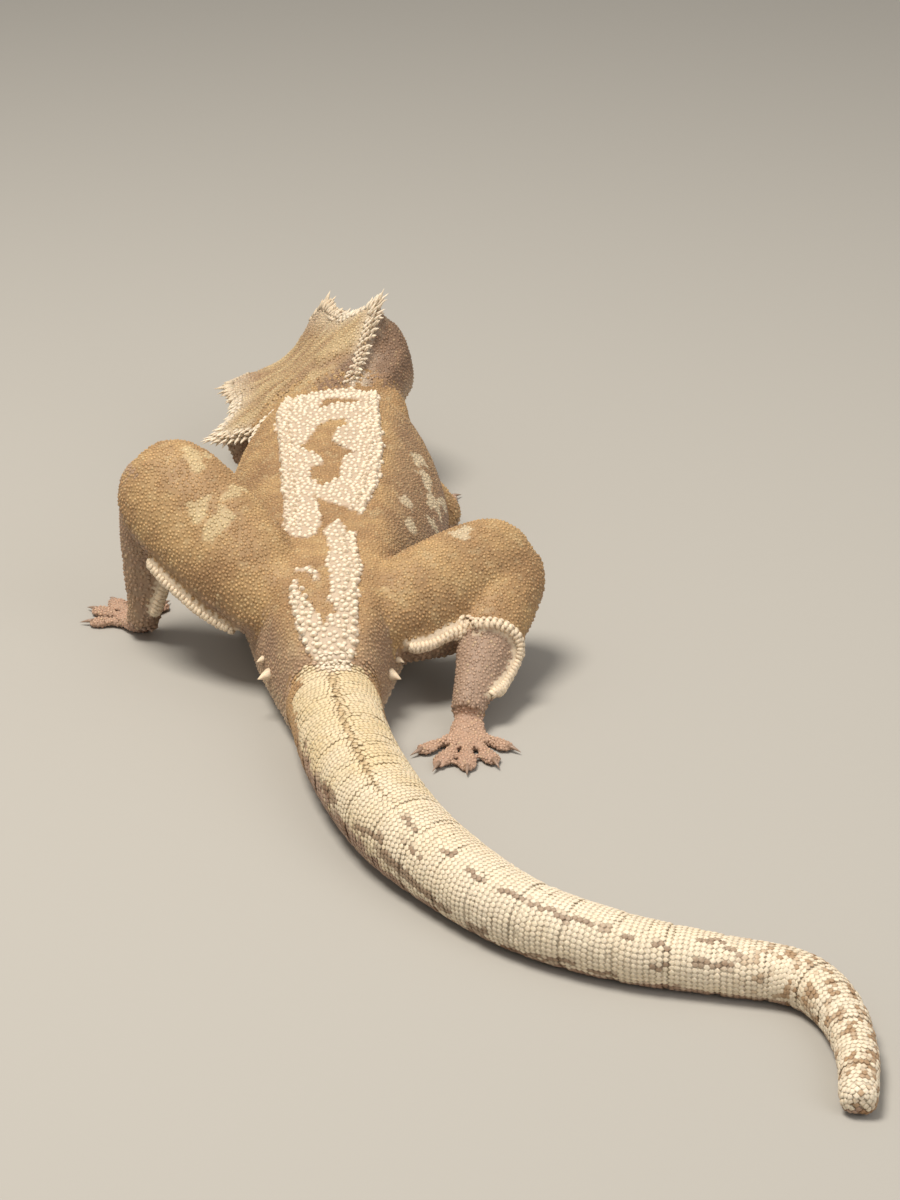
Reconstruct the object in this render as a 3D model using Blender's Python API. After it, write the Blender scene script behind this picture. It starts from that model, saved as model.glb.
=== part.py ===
"""A crested gecko at life size, lying still on a floor, head turned and tail swung to one side.

All sizes are millimetres until the last step. +Y is the way the animal faces, +X its right side and
+Z up. Under the root of the tail the plan has x = 0, y = 0, z = 0, and the floor is z = 0. The last
step moves the whole animal so that the middle of its footprint lies on the origin.
"""

import math
import random
from collections import namedtuple

import bmesh
import bpy
from mathutils import Matrix, Vector

MM = 0.001
GAP = 0.3

# Colour and roughness of each finish
FINISHES = {
    "skin_tan": ((0.434, 0.262, 0.122, 1.0), 0.62),
    "skin_cream": ((0.807, 0.694, 0.434, 1.0), 0.6),
    "skin_pale": ((0.521, 0.361, 0.262, 1.0), 0.6),
    "eye_gloss": ((0.262, 0.147, 0.06, 1.0), 0.12),
}

# Trunk: height of the back and the belly, half width, half distance of the two ridges of the back,
# and how far the back leans to the left, in degrees
Trunk = namedtuple("Trunk", "y x top belly half ridge lean")
TRUNK = [
    Trunk(3.0, 0.7, 9.7, -0.2, 4.9, 2.9, 0.0),
    Trunk(8.0, 0.3, 12.2, -0.2, 6.3, 4.2, 0.0),
    Trunk(14.0, 0.0, 14.2, -0.2, 8.0, 5.2, 0.0),
    Trunk(22.0, -0.3, 15.4, -0.2, 9.6, 5.9, 1.0),
    Trunk(31.0, -0.5, 16.2, -0.2, 11.6, 6.4, 3.0),
    Trunk(40.0, -0.6, 16.8, -0.2, 13.2, 6.6, 5.0),
    Trunk(48.0, -0.6, 17.6, 0.2, 13.4, 6.6, 6.0),
    Trunk(55.0, -0.6, 18.2, 1.2, 12.4, 6.5, 7.0),
    Trunk(61.0, -0.4, 17.8, 2.2, 10.9, 6.1, 8.0),
    Trunk(66.0, -0.6, 15.4, 3.4, 9.3, 5.0, 10.0),
]
TRUNK_STEPS = 15
RIDGE_DROP = 0.5

# Head in its own frame: x to its right, y to the snout, z up, from the middle between the two rear
# corners of the crown
HEAD_AT = Vector((-6.5, 73.4, 16.9))
HEAD_YAW = 10.5
HEAD_PITCH = -10.0
HEAD_ROLL = 37.0
Skull = namedtuple("Skull", "y crest crest_z crown cheek cheek_z jaw jaw_z throat")
SKULL = [
    Skull(-6.5, 4.6, -4.4, -3.9, 7.4, -7.0, 5.6, -9.6, -10.8),
    Skull(-4.5, 6.2, -4.0, -3.1, 9.4, -7.0, 7.6, -10.4, -11.8),
    Skull(-2.0, 9.2, -3.0, -1.8, 11.6, -7.0, 9.4, -11.0, -12.6),
    Skull(-0.8, 12.3, -1.2, -0.9, 12.4, -7.0, 10.2, -11.2, -12.9),
    Skull(0.4, 14.0, 0.0, -0.5, 12.9, -6.9, 10.6, -11.2, -13.0),
    Skull(2.4, 12.0, 0.1, -0.5, 13.2, -6.8, 10.8, -11.1, -12.9),
    Skull(4.6, 10.2, 0.2, -0.5, 13.0, -6.6, 10.6, -10.9, -12.7),
    Skull(7.4, 9.3, 0.7, -0.6, 12.3, -6.4, 10.1, -10.6, -12.3),
    Skull(11.0, 9.0, 1.3, -0.8, 10.9, -6.3, 9.2, -10.2, -11.8),
    Skull(14.5, 8.6, 1.6, -1.0, 9.6, -6.2, 8.3, -9.8, -11.3),
    Skull(18.0, 6.8, 0.6, -1.3, 8.5, -6.2, 7.4, -9.4, -10.8),
    Skull(21.5, 5.0, -1.2, -2.1, 7.2, -6.1, 6.3, -9.0, -10.2),
    Skull(25.0, 4.0, -2.8, -2.9, 5.8, -6.0, 5.1, -8.5, -9.6),
    Skull(28.0, 3.1, -3.9, -3.7, 4.2, -6.0, 3.8, -8.0, -8.9),
    Skull(29.8, 1.8, -4.8, -4.6, 2.4, -6.1, 2.2, -7.4, -8.0),
]
CREST_DEEP = 1.6
CHEEK_FULL = 0.6
EYE_AT = Vector((7.1, 14.0, -3.3))
EYE_RADIUS = 3.6
EYE_FACES = Vector((0.95, 0.25, 0.15))
LID_RING = 3.35
LID_THICK = 0.6
EAR_Y, EAR_Z = 1.6, -6.3
EAR_SIZE = Vector((1.3, 0.6, 1.7))
NOSTRIL_Y, NOSTRIL_Z = 28.4, -4.8
NOSTRIL_RADIUS = 0.5
# The mouth in side view: y and z from past the snout to its corner, then down behind the lower jaw
Mouth = namedtuple("Mouth", "y z")
MOUTH = [
    Mouth(4.2, -16.0), Mouth(4.8, -9.6), Mouth(6.0, -8.1), Mouth(9.0, -8.5), Mouth(15.0, -8.3),
    Mouth(22.0, -7.5), Mouth(28.0, -7.0), Mouth(33.0, -6.7),
]
LIP_FROM, LIP_TO = 6.6, 29.2
LIP_STEPS = 9
LIP_THICK = 0.5
LIP_OFF_MOUTH = 0.55

# Rows of pointed scales: the step from one to the next, radius at the root, how far one stands out of
# the skin and how blunt its tip is
Row = namedtuple("Row", "step radius out tip")
CREST_ROW = Row(1.05, 0.42, 0.9, 0.0)
RIDGE_ROW = Row(1.9, 0.5, 0.95, 0.0)
FRINGE_ROW = Row(1.25, 0.7, 1.15, 0.2)
SPUR_ROW = Row(1.5, 0.8, 1.1, 0.25)
ROOT_SUNK = 0.7
SPIKE_WOBBLE = 0.12
# How the crest's spines point along its edge, from the nape round the rear corner to the brow
Lie = namedtuple("Lie", "y side ahead up")
CREST_LIES = [
    Lie(-6.0, 0.3, -0.8, 0.6), Lie(-0.8, 0.7, -0.7, 0.4), Lie(0.8, 0.9, -0.25, 0.45),
    Lie(8.0, 0.9, -0.25, 0.4), Lie(15.5, 0.85, 0.05, 0.6), Lie(19.0, 0.8, 0.1, 0.5),
]
# Places of the longest spines: the rear corner, and the lashes over the eye
LONG_SPINES = [(0.5, 1.5, 1.3), (13.5, 2.2, 0.9)]
CREST_POINTS = 60
RIDGE_FROM, RIDGE_TO = 4.2, 62.5
RIDGE_POINTS = 45
SPUR_Y = 9.0
SPUR_HIGH = 0.4

# Neck: from inside the trunk to inside the skull, in the frame of the head
NECK_FROM = Vector((-0.6, 57.5, 9.6))
NECK_TO = Vector((0.0, 3.5, -7.0))
NECK_HALF_WIDTH = 10.0
NECK_HALF_HEIGHT = 5.9
NECK_RINGS = 7

# Tail: x, y and half width of points along its middle, which lies on the floor
Tail = namedtuple("Tail", "along x y half")
TAIL = [
    Tail(0, 0.6, 4.6, 4.95),
    Tail(1, 2.9, -8.0, 4.8),
    Tail(2, 7.2, -20.6, 4.55),
    Tail(3, 12.5, -29.3, 4.0),
    Tail(4, 19.6, -37.4, 3.55),
    Tail(5, 28.0, -42.4, 3.25),
    Tail(6, 37.0, -45.0, 2.85),
    Tail(7, 43.6, -47.0, 2.65),
    Tail(8, 46.5, -51.4, 2.3),
    Tail(9, 47.3, -57.6, 1.95),
    Tail(10, 46.6, -64.0, 1.75),
]
TAIL_CUTS = {
    "tail_base": (0.0, 2.3), "tail_middle": (2.3, 4.6), "tail_rear": (4.6, 7.3), "tail_tip": (7.3, 10.0),
}
TAIL_STEPS = 7
TAIL_TALL = 0.93
TAIL_FRONT = 2.7

# Limbs: the joints of each one, where its toes point, and the way the broad side of its first
# length faces up
Limb = namedtuple("Limb", "root bend end toes up")
HIND = {
    "right": Limb(
        Vector((4.6, 14.0, 8.5)), Vector((19.6, 24.0, 11.0)), Vector((15.0, 6.4, 2.6)),
        Vector((14.2, -6.0, 0.0)), Vector((0.0, 0.38, 0.92)),
    ),
    "left": Limb(
        Vector((-4.8, 16.4, 8.9)), Vector((-19.2, 27.7, 19.9)), Vector((-21.8, 29.6, 2.4)),
        Vector((-27.0, 41.0, 0.0)), Vector((0.56, 0.38, 0.735)),
    ),
}
FORE = {
    "right": Limb(
        Vector((5.4, 61.0, 8.4)), Vector((12.0, 55.4, 4.6)), Vector((10.6, 65.6, 2.1)),
        Vector((7.6, 76.0, 0.0)), Vector((0.0, 0.2, 0.98)),
    ),
    "left": Limb(
        Vector((-6.6, 61.0, 8.0)), Vector((-13.4, 55.4, 4.4)), Vector((-12.4, 65.6, 2.1)),
        Vector((-12.0, 76.0, 0.0)), Vector((0.0, 0.2, 0.98)),
    ),
}
# Along each length of a limb: share of the way, half height, half depth
Girth = namedtuple("Girth", "share up across")
THIGH = [
    Girth(0.0, 4.4, 4.2), Girth(0.15, 5.3, 4.6), Girth(0.36, 6.3, 5.0), Girth(0.62, 6.6, 4.8),
    Girth(0.88, 6.4, 4.5), Girth(1.04, 5.4, 3.8), Girth(1.14, 3.4, 2.4),
]
SHANK = [
    Girth(-0.08, 3.6, 3.2), Girth(0.08, 4.4, 3.8), Girth(0.35, 4.1, 3.6), Girth(0.65, 3.1, 2.8),
    Girth(0.9, 2.2, 2.1), Girth(1.06, 1.9, 1.9),
]
UPPER_ARM = [
    Girth(0.0, 3.4, 3.0), Girth(0.3, 3.4, 3.0), Girth(0.7, 3.0, 2.7), Girth(0.95, 2.6, 2.4),
    Girth(1.1, 1.4, 1.3),
]
FOREARM = [
    Girth(-0.1, 2.0, 1.9), Girth(0.08, 2.7, 2.5), Girth(0.4, 2.6, 2.4), Girth(0.75, 2.0, 1.9),
    Girth(1.05, 1.6, 1.6),
]

# Fringe of large scales: points in order along it, each a share of the way along the limb and an
# angle round it. The right shank's starts over its calf, where the folded thigh meets it
Fringe = namedtuple("Fringe", "along share angle")
THIGH_FRINGE = {
    "right": [Fringe(0, 0.06, -34), Fringe(1, 0.2, -36), Fringe(2, 0.34, -29), Fringe(3, 0.47, -27)],
    "left": [Fringe(0, 0.1, -95), Fringe(1, 0.35, -97), Fringe(2, 0.6, -97), Fringe(3, 0.72, -95)],
}
SHANK_FRINGE = {
    "right": [
        Fringe(0, 0.58, -28), Fringe(1, 0.55, 14), Fringe(2, 0.57, 58), Fringe(3, 0.66, 84),
        Fringe(4, 0.82, 82), Fringe(5, 0.95, 56),
    ],
    "left": [Fringe(0, 0.45, -100), Fringe(1, 0.7, -108), Fringe(2, 0.92, -114)],
}
FRINGE_POINTS = 24

# Feet: angle in degrees and length of each toe, and how far the palm lies ahead of the ankle
Foot = namedtuple("Foot", "spread lengths palm")
HIND_FOOT = Foot((-58.0, -27.0, -3.0, 20.0, 48.0), (4.6, 6.0, 6.8, 6.8, 5.4), 2.4)
FORE_FOOT = Foot((-60.0, -30.0, 0.0, 30.0, 60.0), (3.8, 4.8, 5.3, 5.0, 4.2), 2.1)
# Sections of the palm and of a toe: how far along, half width, half height. A toe is given as shares
# of its length, and widens into its pad
Pad = namedtuple("Pad", "along half tall")
PALM = [
    Pad(-2.0, 1.2, 0.9), Pad(-1.2, 1.8, 1.2), Pad(0.0, 2.1, 1.1), Pad(1.0, 2.0, 0.9), Pad(1.7, 1.2, 0.6),
]
TOE = [
    Pad(0.0, 0.9, 0.8), Pad(0.45, 0.72, 0.72), Pad(0.7, 1.15, 0.62), Pad(0.92, 1.3, 0.55),
    Pad(1.08, 0.6, 0.35),
]
TOE_ROOT = 0.9
SOLE_SHARE = 0.85
CLAW = Row(0.0, 0.32, 1.4, 0.0)
CLAW_HIGH = 0.55
CLAW_DROP = 0.12


def clear_scene():
    for thing in list(bpy.data.objects):
        bpy.data.objects.remove(thing, do_unlink=True)


def finish(name):
    """The material of one finish, made once."""
    found = bpy.data.materials.get(name)
    if found:
        return found
    colour, roughness = FINISHES[name]
    material = bpy.data.materials.new(name)
    material.use_nodes = True
    shader = material.node_tree.nodes["Principled BSDF"]
    shader.inputs["Base Color"].default_value = colour
    shader.inputs["Roughness"].default_value = roughness
    shader.inputs["Metallic"].default_value = 0.0
    return material


def between(stations, at):
    """The station at one place along a list whose first field grows, on a smooth curve through all."""
    last = len(stations) - 1
    i = 0
    while i < last - 1 and at > stations[i + 1][0]:
        i += 1
    a, b = stations[i], stations[i + 1]
    before = stations[max(i - 1, 0)]
    after = stations[min(i + 2, last)]
    step = b[0] - a[0]
    t = min(max((at - a[0]) / step, 0.0), 1.0)
    values = []
    for p, q, r, s in zip(before, a, b, after):
        slope_q = (r - p) / (b[0] - before[0]) * step
        slope_r = (s - q) / (after[0] - a[0]) * step
        start = q * (2 * t**3 - 3 * t**2 + 1) + slope_q * (t**3 - 2 * t**2 + t)
        values.append(start + r * (3 * t**2 - 2 * t**3) + slope_r * (t**3 - t**2))
    return type(a)(*values)


def loft(rings):
    """A closed bmesh through rings of equal counts of points, by extruding the cap of each to the next."""
    form = bmesh.new()
    first = bmesh.ops.create_circle(form, cap_ends=True, radius=1.0, segments=len(rings[0]))["verts"]
    cap = form.faces[:][0]
    order = [first.index(vert) for vert in cap.verts]
    for vert, place in zip(first, rings[0]):
        vert.co = place
    for number, ring in enumerate(rings[1:]):
        behind = cap
        grown = bmesh.ops.extrude_face_region(form, geom=[behind])["geom"]
        cap = next(item for item in grown if isinstance(item, bmesh.types.BMFace))
        for vert, k in zip(cap.verts, order):
            vert.co = ring[k]
        if number and behind.is_valid:
            bmesh.ops.delete(form, geom=[behind], context="FACES_ONLY")
    bmesh.ops.triangulate(form, faces=[face for face in form.faces if len(face.verts) > 4])
    bmesh.ops.recalc_face_normals(form, faces=form.faces)
    return form


def fatter(form, by):
    """The form itself, grown outwards by a distance."""
    if by:
        form.normal_update()
        moves = [vert.normal * by for vert in form.verts]
        for vert, move in zip(form.verts, moves):
            vert.co += move
    return form


def piece(name, form):
    """An object from a bmesh, which it uses up."""
    mesh = bpy.data.meshes.new(name)
    form.to_mesh(mesh)
    form.free()
    thing = bpy.data.objects.new(name, mesh)
    bpy.context.scene.collection.objects.link(thing)
    return thing


def spread(verts):
    """How much room a set of vertices takes: the diagonal of its box."""
    low = [min(vert.co[i] for vert in verts) for i in range(3)]
    high = [max(vert.co[i] for vert in verts) for i in range(3)]
    return (Vector(high) - Vector(low)).length


def surfaces(form):
    """The closed surfaces of a bmesh, as sets of vertices, the largest first."""
    left = set(form.verts)
    found = []
    while left:
        seed = left.pop()
        shell = {seed}
        edge_of_shell = [seed]
        while edge_of_shell:
            for edge in edge_of_shell.pop().link_edges:
                for vert in edge.verts:
                    if vert in left:
                        left.remove(vert)
                        shell.add(vert)
                        edge_of_shell.append(vert)
        found.append(shell)
    return sorted(found, key=spread, reverse=True)


def settle(thing, rank=0):
    """Apply the modifiers of an object and keep one of its closed surfaces, the largest by default."""
    graph = bpy.context.evaluated_depsgraph_get()
    thing.data = bpy.data.meshes.new_from_object(thing.evaluated_get(graph))
    thing.modifiers.clear()
    form = bmesh.new()
    form.from_mesh(thing.data)
    kept = surfaces(form)[rank]
    bmesh.ops.delete(form, geom=[vert for vert in form.verts if vert not in kept], context="VERTS")
    bmesh.ops.triangulate(form, faces=form.faces)
    form.to_mesh(thing.data)
    form.free()


def combine(thing, forms, operation, rank=0):
    """One Boolean of a piece with a set of closed forms, which it uses up."""
    group = bpy.data.collections.new("others")
    bpy.context.scene.collection.children.link(group)
    for form in forms:
        other = piece("other", form)
        bpy.context.scene.collection.objects.unlink(other)
        group.objects.link(other)
    boolean = thing.modifiers.new("combine", "BOOLEAN")
    boolean.operation = operation
    boolean.solver = "EXACT"
    boolean.operand_type = "COLLECTION"
    boolean.collection = group
    settle(thing, rank)
    for other in list(group.objects):
        bpy.data.objects.remove(other, do_unlink=True)
    bpy.data.collections.remove(group)


def carve(thing, forms, rank=0):
    combine(thing, forms, "DIFFERENCE", rank)


def fuse(thing, forms):
    combine(thing, forms, "UNION")


def slice_off(form, point, normal):
    """Cut a closed bmesh by a plane, drop the side the normal points to, and fill the cut."""
    everything = form.verts[:] + form.edges[:] + form.faces[:]
    bmesh.ops.bisect_plane(form, geom=everything, plane_co=point, plane_no=normal, clear_outer=True)
    rim = [edge for edge in form.edges if edge.is_boundary]
    if rim:
        filled = bmesh.ops.holes_fill(form, edges=rim, sides=0)["faces"]
        bmesh.ops.triangulate(form, faces=filled)
    bmesh.ops.recalc_face_normals(form, faces=form.faces)
    return form


def on_floor(thing):
    form = bmesh.new()
    form.from_mesh(thing.data)
    slice_off(form, Vector((0, 0, 0)), Vector((0, 0, -1)))
    form.to_mesh(thing.data)
    form.free()


def oval(centre, across, up, half_across, half_up, count, squareness=1.0):
    """Points of an oval in the plane of two directions. A squareness under 1 fills out its corners."""
    points = []
    for k in range(count):
        angle = 2 * math.pi * k / count
        c, s = math.cos(angle), math.sin(angle)
        a = math.copysign(abs(c) ** squareness, c) * half_across
        b = math.copysign(abs(s) ** squareness, s) * half_up
        points.append(centre + across * a + up * b)
    return points


def spike(root, way, row, length, grow=0.0, sides=5):
    """A cone that stands out of the skin at its root by a length, with its base sunk in."""
    low, high = -ROOT_SUNK - grow, length + grow
    base, tip = row.radius + grow, row.tip + grow
    form = bmesh.new()
    bmesh.ops.create_cone(form, cap_ends=True, segments=sides, radius1=base, radius2=tip, depth=high - low)
    bmesh.ops.translate(form, verts=form.verts, vec=Vector((0, 0, (high + low) / 2)))
    turn = Vector((0, 0, 1)).rotation_difference(way.normalized()).to_matrix().to_4x4()
    bmesh.ops.transform(form, matrix=Matrix.Translation(root) @ turn, verts=form.verts)
    return form


def paced(path, step):
    """Places at about even steps along a path of points and directions."""
    run = [0.0]
    for (a, _), (b, _) in zip(path, path[1:]):
        run.append(run[-1] + (b - a).length)
    count = max(round(run[-1] / step), 1)
    places = []
    i = 0
    for k in range(count + 1):
        want = run[-1] * k / count
        while i < len(path) - 2 and run[i + 1] < want:
            i += 1
        share = (want - run[i]) / (run[i + 1] - run[i])
        places.append((path[i][0].lerp(path[i + 1][0], share), path[i][1].lerp(path[i + 1][1], share)))
    return places


def spike_row(path, row, seed, extra=None, grow=0.0):
    """A row of spikes along a path, no two quite alike."""
    rng = random.Random(seed)
    forms = []
    for point, way in paced(path, row.step):
        wobble = Vector((rng.uniform(-1, 1), rng.uniform(-1, 1), rng.uniform(-1, 1))) * SPIKE_WOBBLE
        length = row.out * rng.uniform(0.8, 1.2)
        if extra:
            length += extra(point) * rng.uniform(0.85, 1.1)
        forms.append(spike(point, way.normalized() + wobble, row, length, grow))
    return forms


def leaned(s, x, z):
    """A point of one section of the trunk, once the back has leant over."""
    tall = s.top - s.belly
    middle = s.belly + tall * 0.4
    lean = math.sin(math.radians(s.lean))
    share = min(max(((z - middle) / tall + 0.4) / 0.5, 0.0), 1.0)
    return Vector((s.x + x - lean * (z - middle) * share, s.y, z + lean * x * share * 0.6))


def trunk_ring(s):
    """One section of the trunk: a flat back between two ridges, full flanks and a flat belly."""
    tall = s.top - s.belly
    half_ring = [
        (0.0, s.top),
        (s.ridge * 0.55, s.top - 0.1),
        (s.ridge, s.top - RIDGE_DROP),
        (s.ridge + (s.half - s.ridge) * 0.55, s.top - tall * 0.2),
        (s.half * 0.95, s.top - tall * 0.42),
        (s.half, s.top - tall * 0.62),
        (s.half * 0.93, s.belly + tall * 0.17),
        (s.half * 0.66, s.belly + tall * 0.03),
        (0.0, s.belly),
    ]
    ring = half_ring + [(-x, z) for x, z in reversed(half_ring[1:-1])]
    return [leaned(s, x, z) for x, z in ring]


def ridge_path(side):
    """Along one of the two ridges of the back, from over the tail to the nape."""
    path = []
    for k in range(RIDGE_POINTS):
        s = between(TRUNK, RIDGE_FROM + (RIDGE_TO - RIDGE_FROM) * k / (RIDGE_POINTS - 1))
        path.append((leaned(s, side * s.ridge, s.top - RIDGE_DROP), Vector((side * 0.35, -0.2, 1.0))))
    return path


def spur(side, grow):
    """The bump beside the vent."""
    s = between(TRUNK, SPUR_Y)
    at = Vector((s.x + side * s.half, s.y, s.top * SPUR_HIGH))
    return spike(at, Vector((side, -0.7, 0.2)), SPUR_ROW, SPUR_ROW.out, grow)


def back_spines(grow=0.0):
    spines = [spur(side, grow) for side in (1, -1)]
    for seed, side in enumerate((1, -1)):
        spines += spike_row(ridge_path(side), RIDGE_ROW, seed + 10, grow=grow)
    return spines


def trunk_form(grow=0.0):
    first, last = TRUNK[0].y, TRUNK[-1].y
    ys = [first + (last - first) * k / (TRUNK_STEPS - 1) for k in range(TRUNK_STEPS)]
    return fatter(loft([trunk_ring(between(TRUNK, y)) for y in ys]), grow)


def head_frame():
    turn = Matrix.Rotation(math.radians(HEAD_YAW), 4, "Z")
    nod = Matrix.Rotation(math.radians(HEAD_PITCH), 4, "X")
    tip = Matrix.Rotation(math.radians(-HEAD_ROLL), 4, "Y")
    return Matrix.Translation(HEAD_AT) @ turn @ nod @ tip


def half_skull(s):
    """The right half of one section of the head: crown, overhanging crest, cheek, jaw and throat."""
    under = max(s.crest - 2.8, min(s.cheek, s.crest - 0.5))
    under_z = s.crest_z - min(CREST_DEEP, (s.crest_z - s.cheek_z) * 0.45)
    return [
        (0.0, s.crown),
        (s.crest * 0.55, (s.crown + s.crest_z) / 2 - 0.1),
        (s.crest, s.crest_z),
        (under, under_z),
        ((s.cheek + under) / 2 + CHEEK_FULL, (under_z + s.cheek_z) / 2),
        (s.cheek, s.cheek_z),
        ((s.cheek + s.jaw) / 2 + 0.2, (s.cheek_z + s.jaw_z) / 2),
        (s.jaw, s.jaw_z),
        (s.jaw * 0.55, s.throat + 0.25),
        (0.0, s.throat),
    ]


def skull_ring(s):
    half_ring = half_skull(s)
    ring = half_ring + [(-x, z) for x, z in reversed(half_ring[1:-1])]
    return [Vector((x, s.y, z)) for x, z in ring]


def skull_side(y, z):
    """The point on the right side of the head at one place along it and one height."""
    ring = half_skull(between(SKULL, y))[2:]
    for (x1, z1), (x2, z2) in zip(ring, ring[1:]):
        if z2 <= z <= z1:
            return Vector((x1 + (x2 - x1) * (z1 - z) / (z1 - z2), y, z))
    return Vector((ring[0][0], y, z))


def in_head(form):
    bmesh.ops.transform(form, matrix=head_frame(), verts=form.verts)
    return form


def head_form(grow=0.0):
    return in_head(fatter(loft([skull_ring(s) for s in SKULL]), grow))


def egg(centre, halves, detail):
    """A ball or an egg in the frame of the head."""
    form = bmesh.new()
    bmesh.ops.create_icosphere(form, subdivisions=detail, radius=1.0)
    bmesh.ops.scale(form, verts=form.verts, vec=halves)
    bmesh.ops.translate(form, verts=form.verts, vec=centre)
    return in_head(form)


def both_sides(point):
    return [point, Vector((-point.x, point.y, point.z))]


def mouth_slit():
    """A thin sheet that follows the mouth line right through the head."""
    points = [Vector((0.0, m.y, m.z)) for m in MOUTH]
    upper, lower = [], []
    for k, point in enumerate(points):
        ahead = points[min(k + 1, len(points) - 1)] - points[max(k - 1, 0)]
        side = Vector((0.0, -ahead.z, ahead.y)).normalized() * GAP / 2
        upper.append(point + side)
        lower.append(point - side)
    reach = Vector((16.0, 0.0, 0.0))
    form = bmesh.new()
    sheet = form.faces.new([form.verts.new(point - reach) for point in upper + lower[::-1]])
    moved = bmesh.ops.extrude_face_region(form, geom=[sheet])["geom"]
    bmesh.ops.translate(form, verts=[v for v in moved if isinstance(v, bmesh.types.BMVert)], vec=reach * 2)
    bmesh.ops.triangulate(form, faces=form.faces)
    bmesh.ops.recalc_face_normals(form, faces=form.faces)
    return in_head(form)


def lips(side):
    """The swollen edges of the upper and the lower lip on one side, as tapered rolls."""
    rolls = []
    for off in (LIP_OFF_MOUTH, -LIP_OFF_MOUTH):
        rings = []
        for k in range(LIP_STEPS):
            share = k / (LIP_STEPS - 1)
            y = LIP_FROM + (LIP_TO - LIP_FROM) * share
            at = skull_side(y, between(MOUTH, y).z + off)
            thick = LIP_THICK * (0.45 + 0.55 * math.sin(math.pi * share))
            centre = Vector((side * (at.x - 0.1), y, at.z))
            rings.append(oval(centre, Vector((1, 0, 0)), Vector((0, 0, 1)), thick, thick, 6))
        rolls.append(in_head(loft(rings)))
    return rolls


def lid(at):
    """The raised rim round one eye."""
    faces = EYE_FACES.copy()
    faces.x = math.copysign(faces.x, at.x)
    faces.normalize()
    turn = Vector((0, 0, 1)).rotation_difference(faces).to_matrix().to_4x4()
    centre = at + faces * math.sqrt((EYE_RADIUS + GAP) ** 2 - LID_RING**2)
    form = bmesh.new()
    ring = bmesh.ops.create_circle(form, radius=LID_THICK, segments=6)["verts"]
    bmesh.ops.rotate(form, verts=ring, cent=(0, 0, 0), matrix=Matrix.Rotation(math.pi / 2, 3, "X"))
    bmesh.ops.translate(form, verts=ring, vec=(LID_RING, 0, 0))
    bmesh.ops.spin(
        form, geom=form.edges[:], cent=(0, 0, 0), axis=(0, 0, 1), angle=2 * math.pi, steps=18, use_merge=True
    )
    bmesh.ops.recalc_face_normals(form, faces=form.faces)
    bmesh.ops.transform(form, matrix=Matrix.Translation(centre) @ turn, verts=form.verts)
    return in_head(form)


def crest_path(side):
    """Along the edge of the crest, from the nape round the rear corner to the front of the brow."""
    start, stop = CREST_LIES[0].y, CREST_LIES[-1].y
    turn = head_frame().to_3x3()
    path = []
    for k in range(CREST_POINTS):
        y = start + (stop - start) * k / (CREST_POINTS - 1)
        s, lie = between(SKULL, y), between(CREST_LIES, y)
        point = head_frame() @ Vector((side * s.crest, y, s.crest_z))
        path.append((point, turn @ Vector((side * lie.side, lie.ahead, lie.up))))
    return path


def extra_length(point):
    """How much longer a spine of the crest is for its place along the head."""
    y = (head_frame().inverted() @ point).y
    return sum(longer * math.exp(-(((y - at) / width) ** 2)) for at, width, longer in LONG_SPINES)


def crest_spines(grow=0.0):
    spines = []
    for seed, side in enumerate((1, -1)):
        spines += spike_row(crest_path(side), CREST_ROW, seed, extra_length, grow)
    return spines


def make_head():
    head = piece("head", head_form())
    lids = [lid(at) for at in both_sides(EYE_AT)]
    fuse(head, lids + lips(1) + lips(-1) + crest_spines())
    jaw = bpy.data.objects.new("lower_jaw", head.data.copy())
    bpy.context.scene.collection.objects.link(jaw)
    carve(jaw, [mouth_slit()], rank=1)
    hollows = [mouth_slit()]
    for at in both_sides(EYE_AT):
        hollows.append(egg(at, Vector((1, 1, 1)) * (EYE_RADIUS + GAP), 3))
    for at in both_sides(skull_side(EAR_Y, EAR_Z)):
        hollows.append(egg(at, EAR_SIZE, 2))
    for at in both_sides(skull_side(NOSTRIL_Y, NOSTRIL_Z)):
        hollows.append(egg(at, Vector((1, 1, 1)) * NOSTRIL_RADIUS, 1))
    carve(head, hollows)
    eyes = []
    for name, at in zip(("eye_right", "eye_left"), both_sides(EYE_AT)):
        eyes.append(piece(name, egg(at, Vector((1, 1, 1)) * EYE_RADIUS, 3)))
    return [head, jaw], eyes


def make_torso():
    torso = piece("torso", trunk_form())
    fuse(torso, back_spines())
    carve(torso, [head_form(GAP)] + crest_spines(GAP))
    on_floor(torso)
    return torso


def make_neck():
    start, stop = NECK_FROM, head_frame() @ NECK_TO
    upright, tipped = Vector((0, 0, 1)), (head_frame().to_3x3() @ Vector((0, 0, 1)))
    rings = []
    for k in range(NECK_RINGS):
        t = k / (NECK_RINGS - 1)
        centre = start.lerp(stop, t)
        up = upright.lerp(tipped, t * 0.8).normalized()
        ahead = (stop - start).normalized()
        across = ahead.cross(up).normalized()
        rings.append(oval(centre, across, across.cross(ahead), NECK_HALF_WIDTH, NECK_HALF_HEIGHT, 18, 0.85))
    neck = piece("neck", loft(rings))
    carve(neck, [trunk_form(GAP), head_form(GAP)] + crest_spines(GAP))
    return neck


def tail_ring(at):
    """One section of the tail, a little flattened, with its underside on the floor."""
    here = between(TAIL, at)
    step = 0.02
    ahead = between(TAIL, min(at + step, TAIL[-1].along))
    behind = between(TAIL, max(at - step, 0.0))
    way = Vector((ahead.x - behind.x, ahead.y - behind.y, 0.0)).normalized()
    across = way.cross(Vector((0, 0, 1)))
    tall = here.half * TAIL_TALL
    centre = Vector((here.x, here.y, tall - 0.25))
    return oval(centre, across, Vector((0, 0, 1)), here.half, tall, 14, 0.88), way


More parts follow.
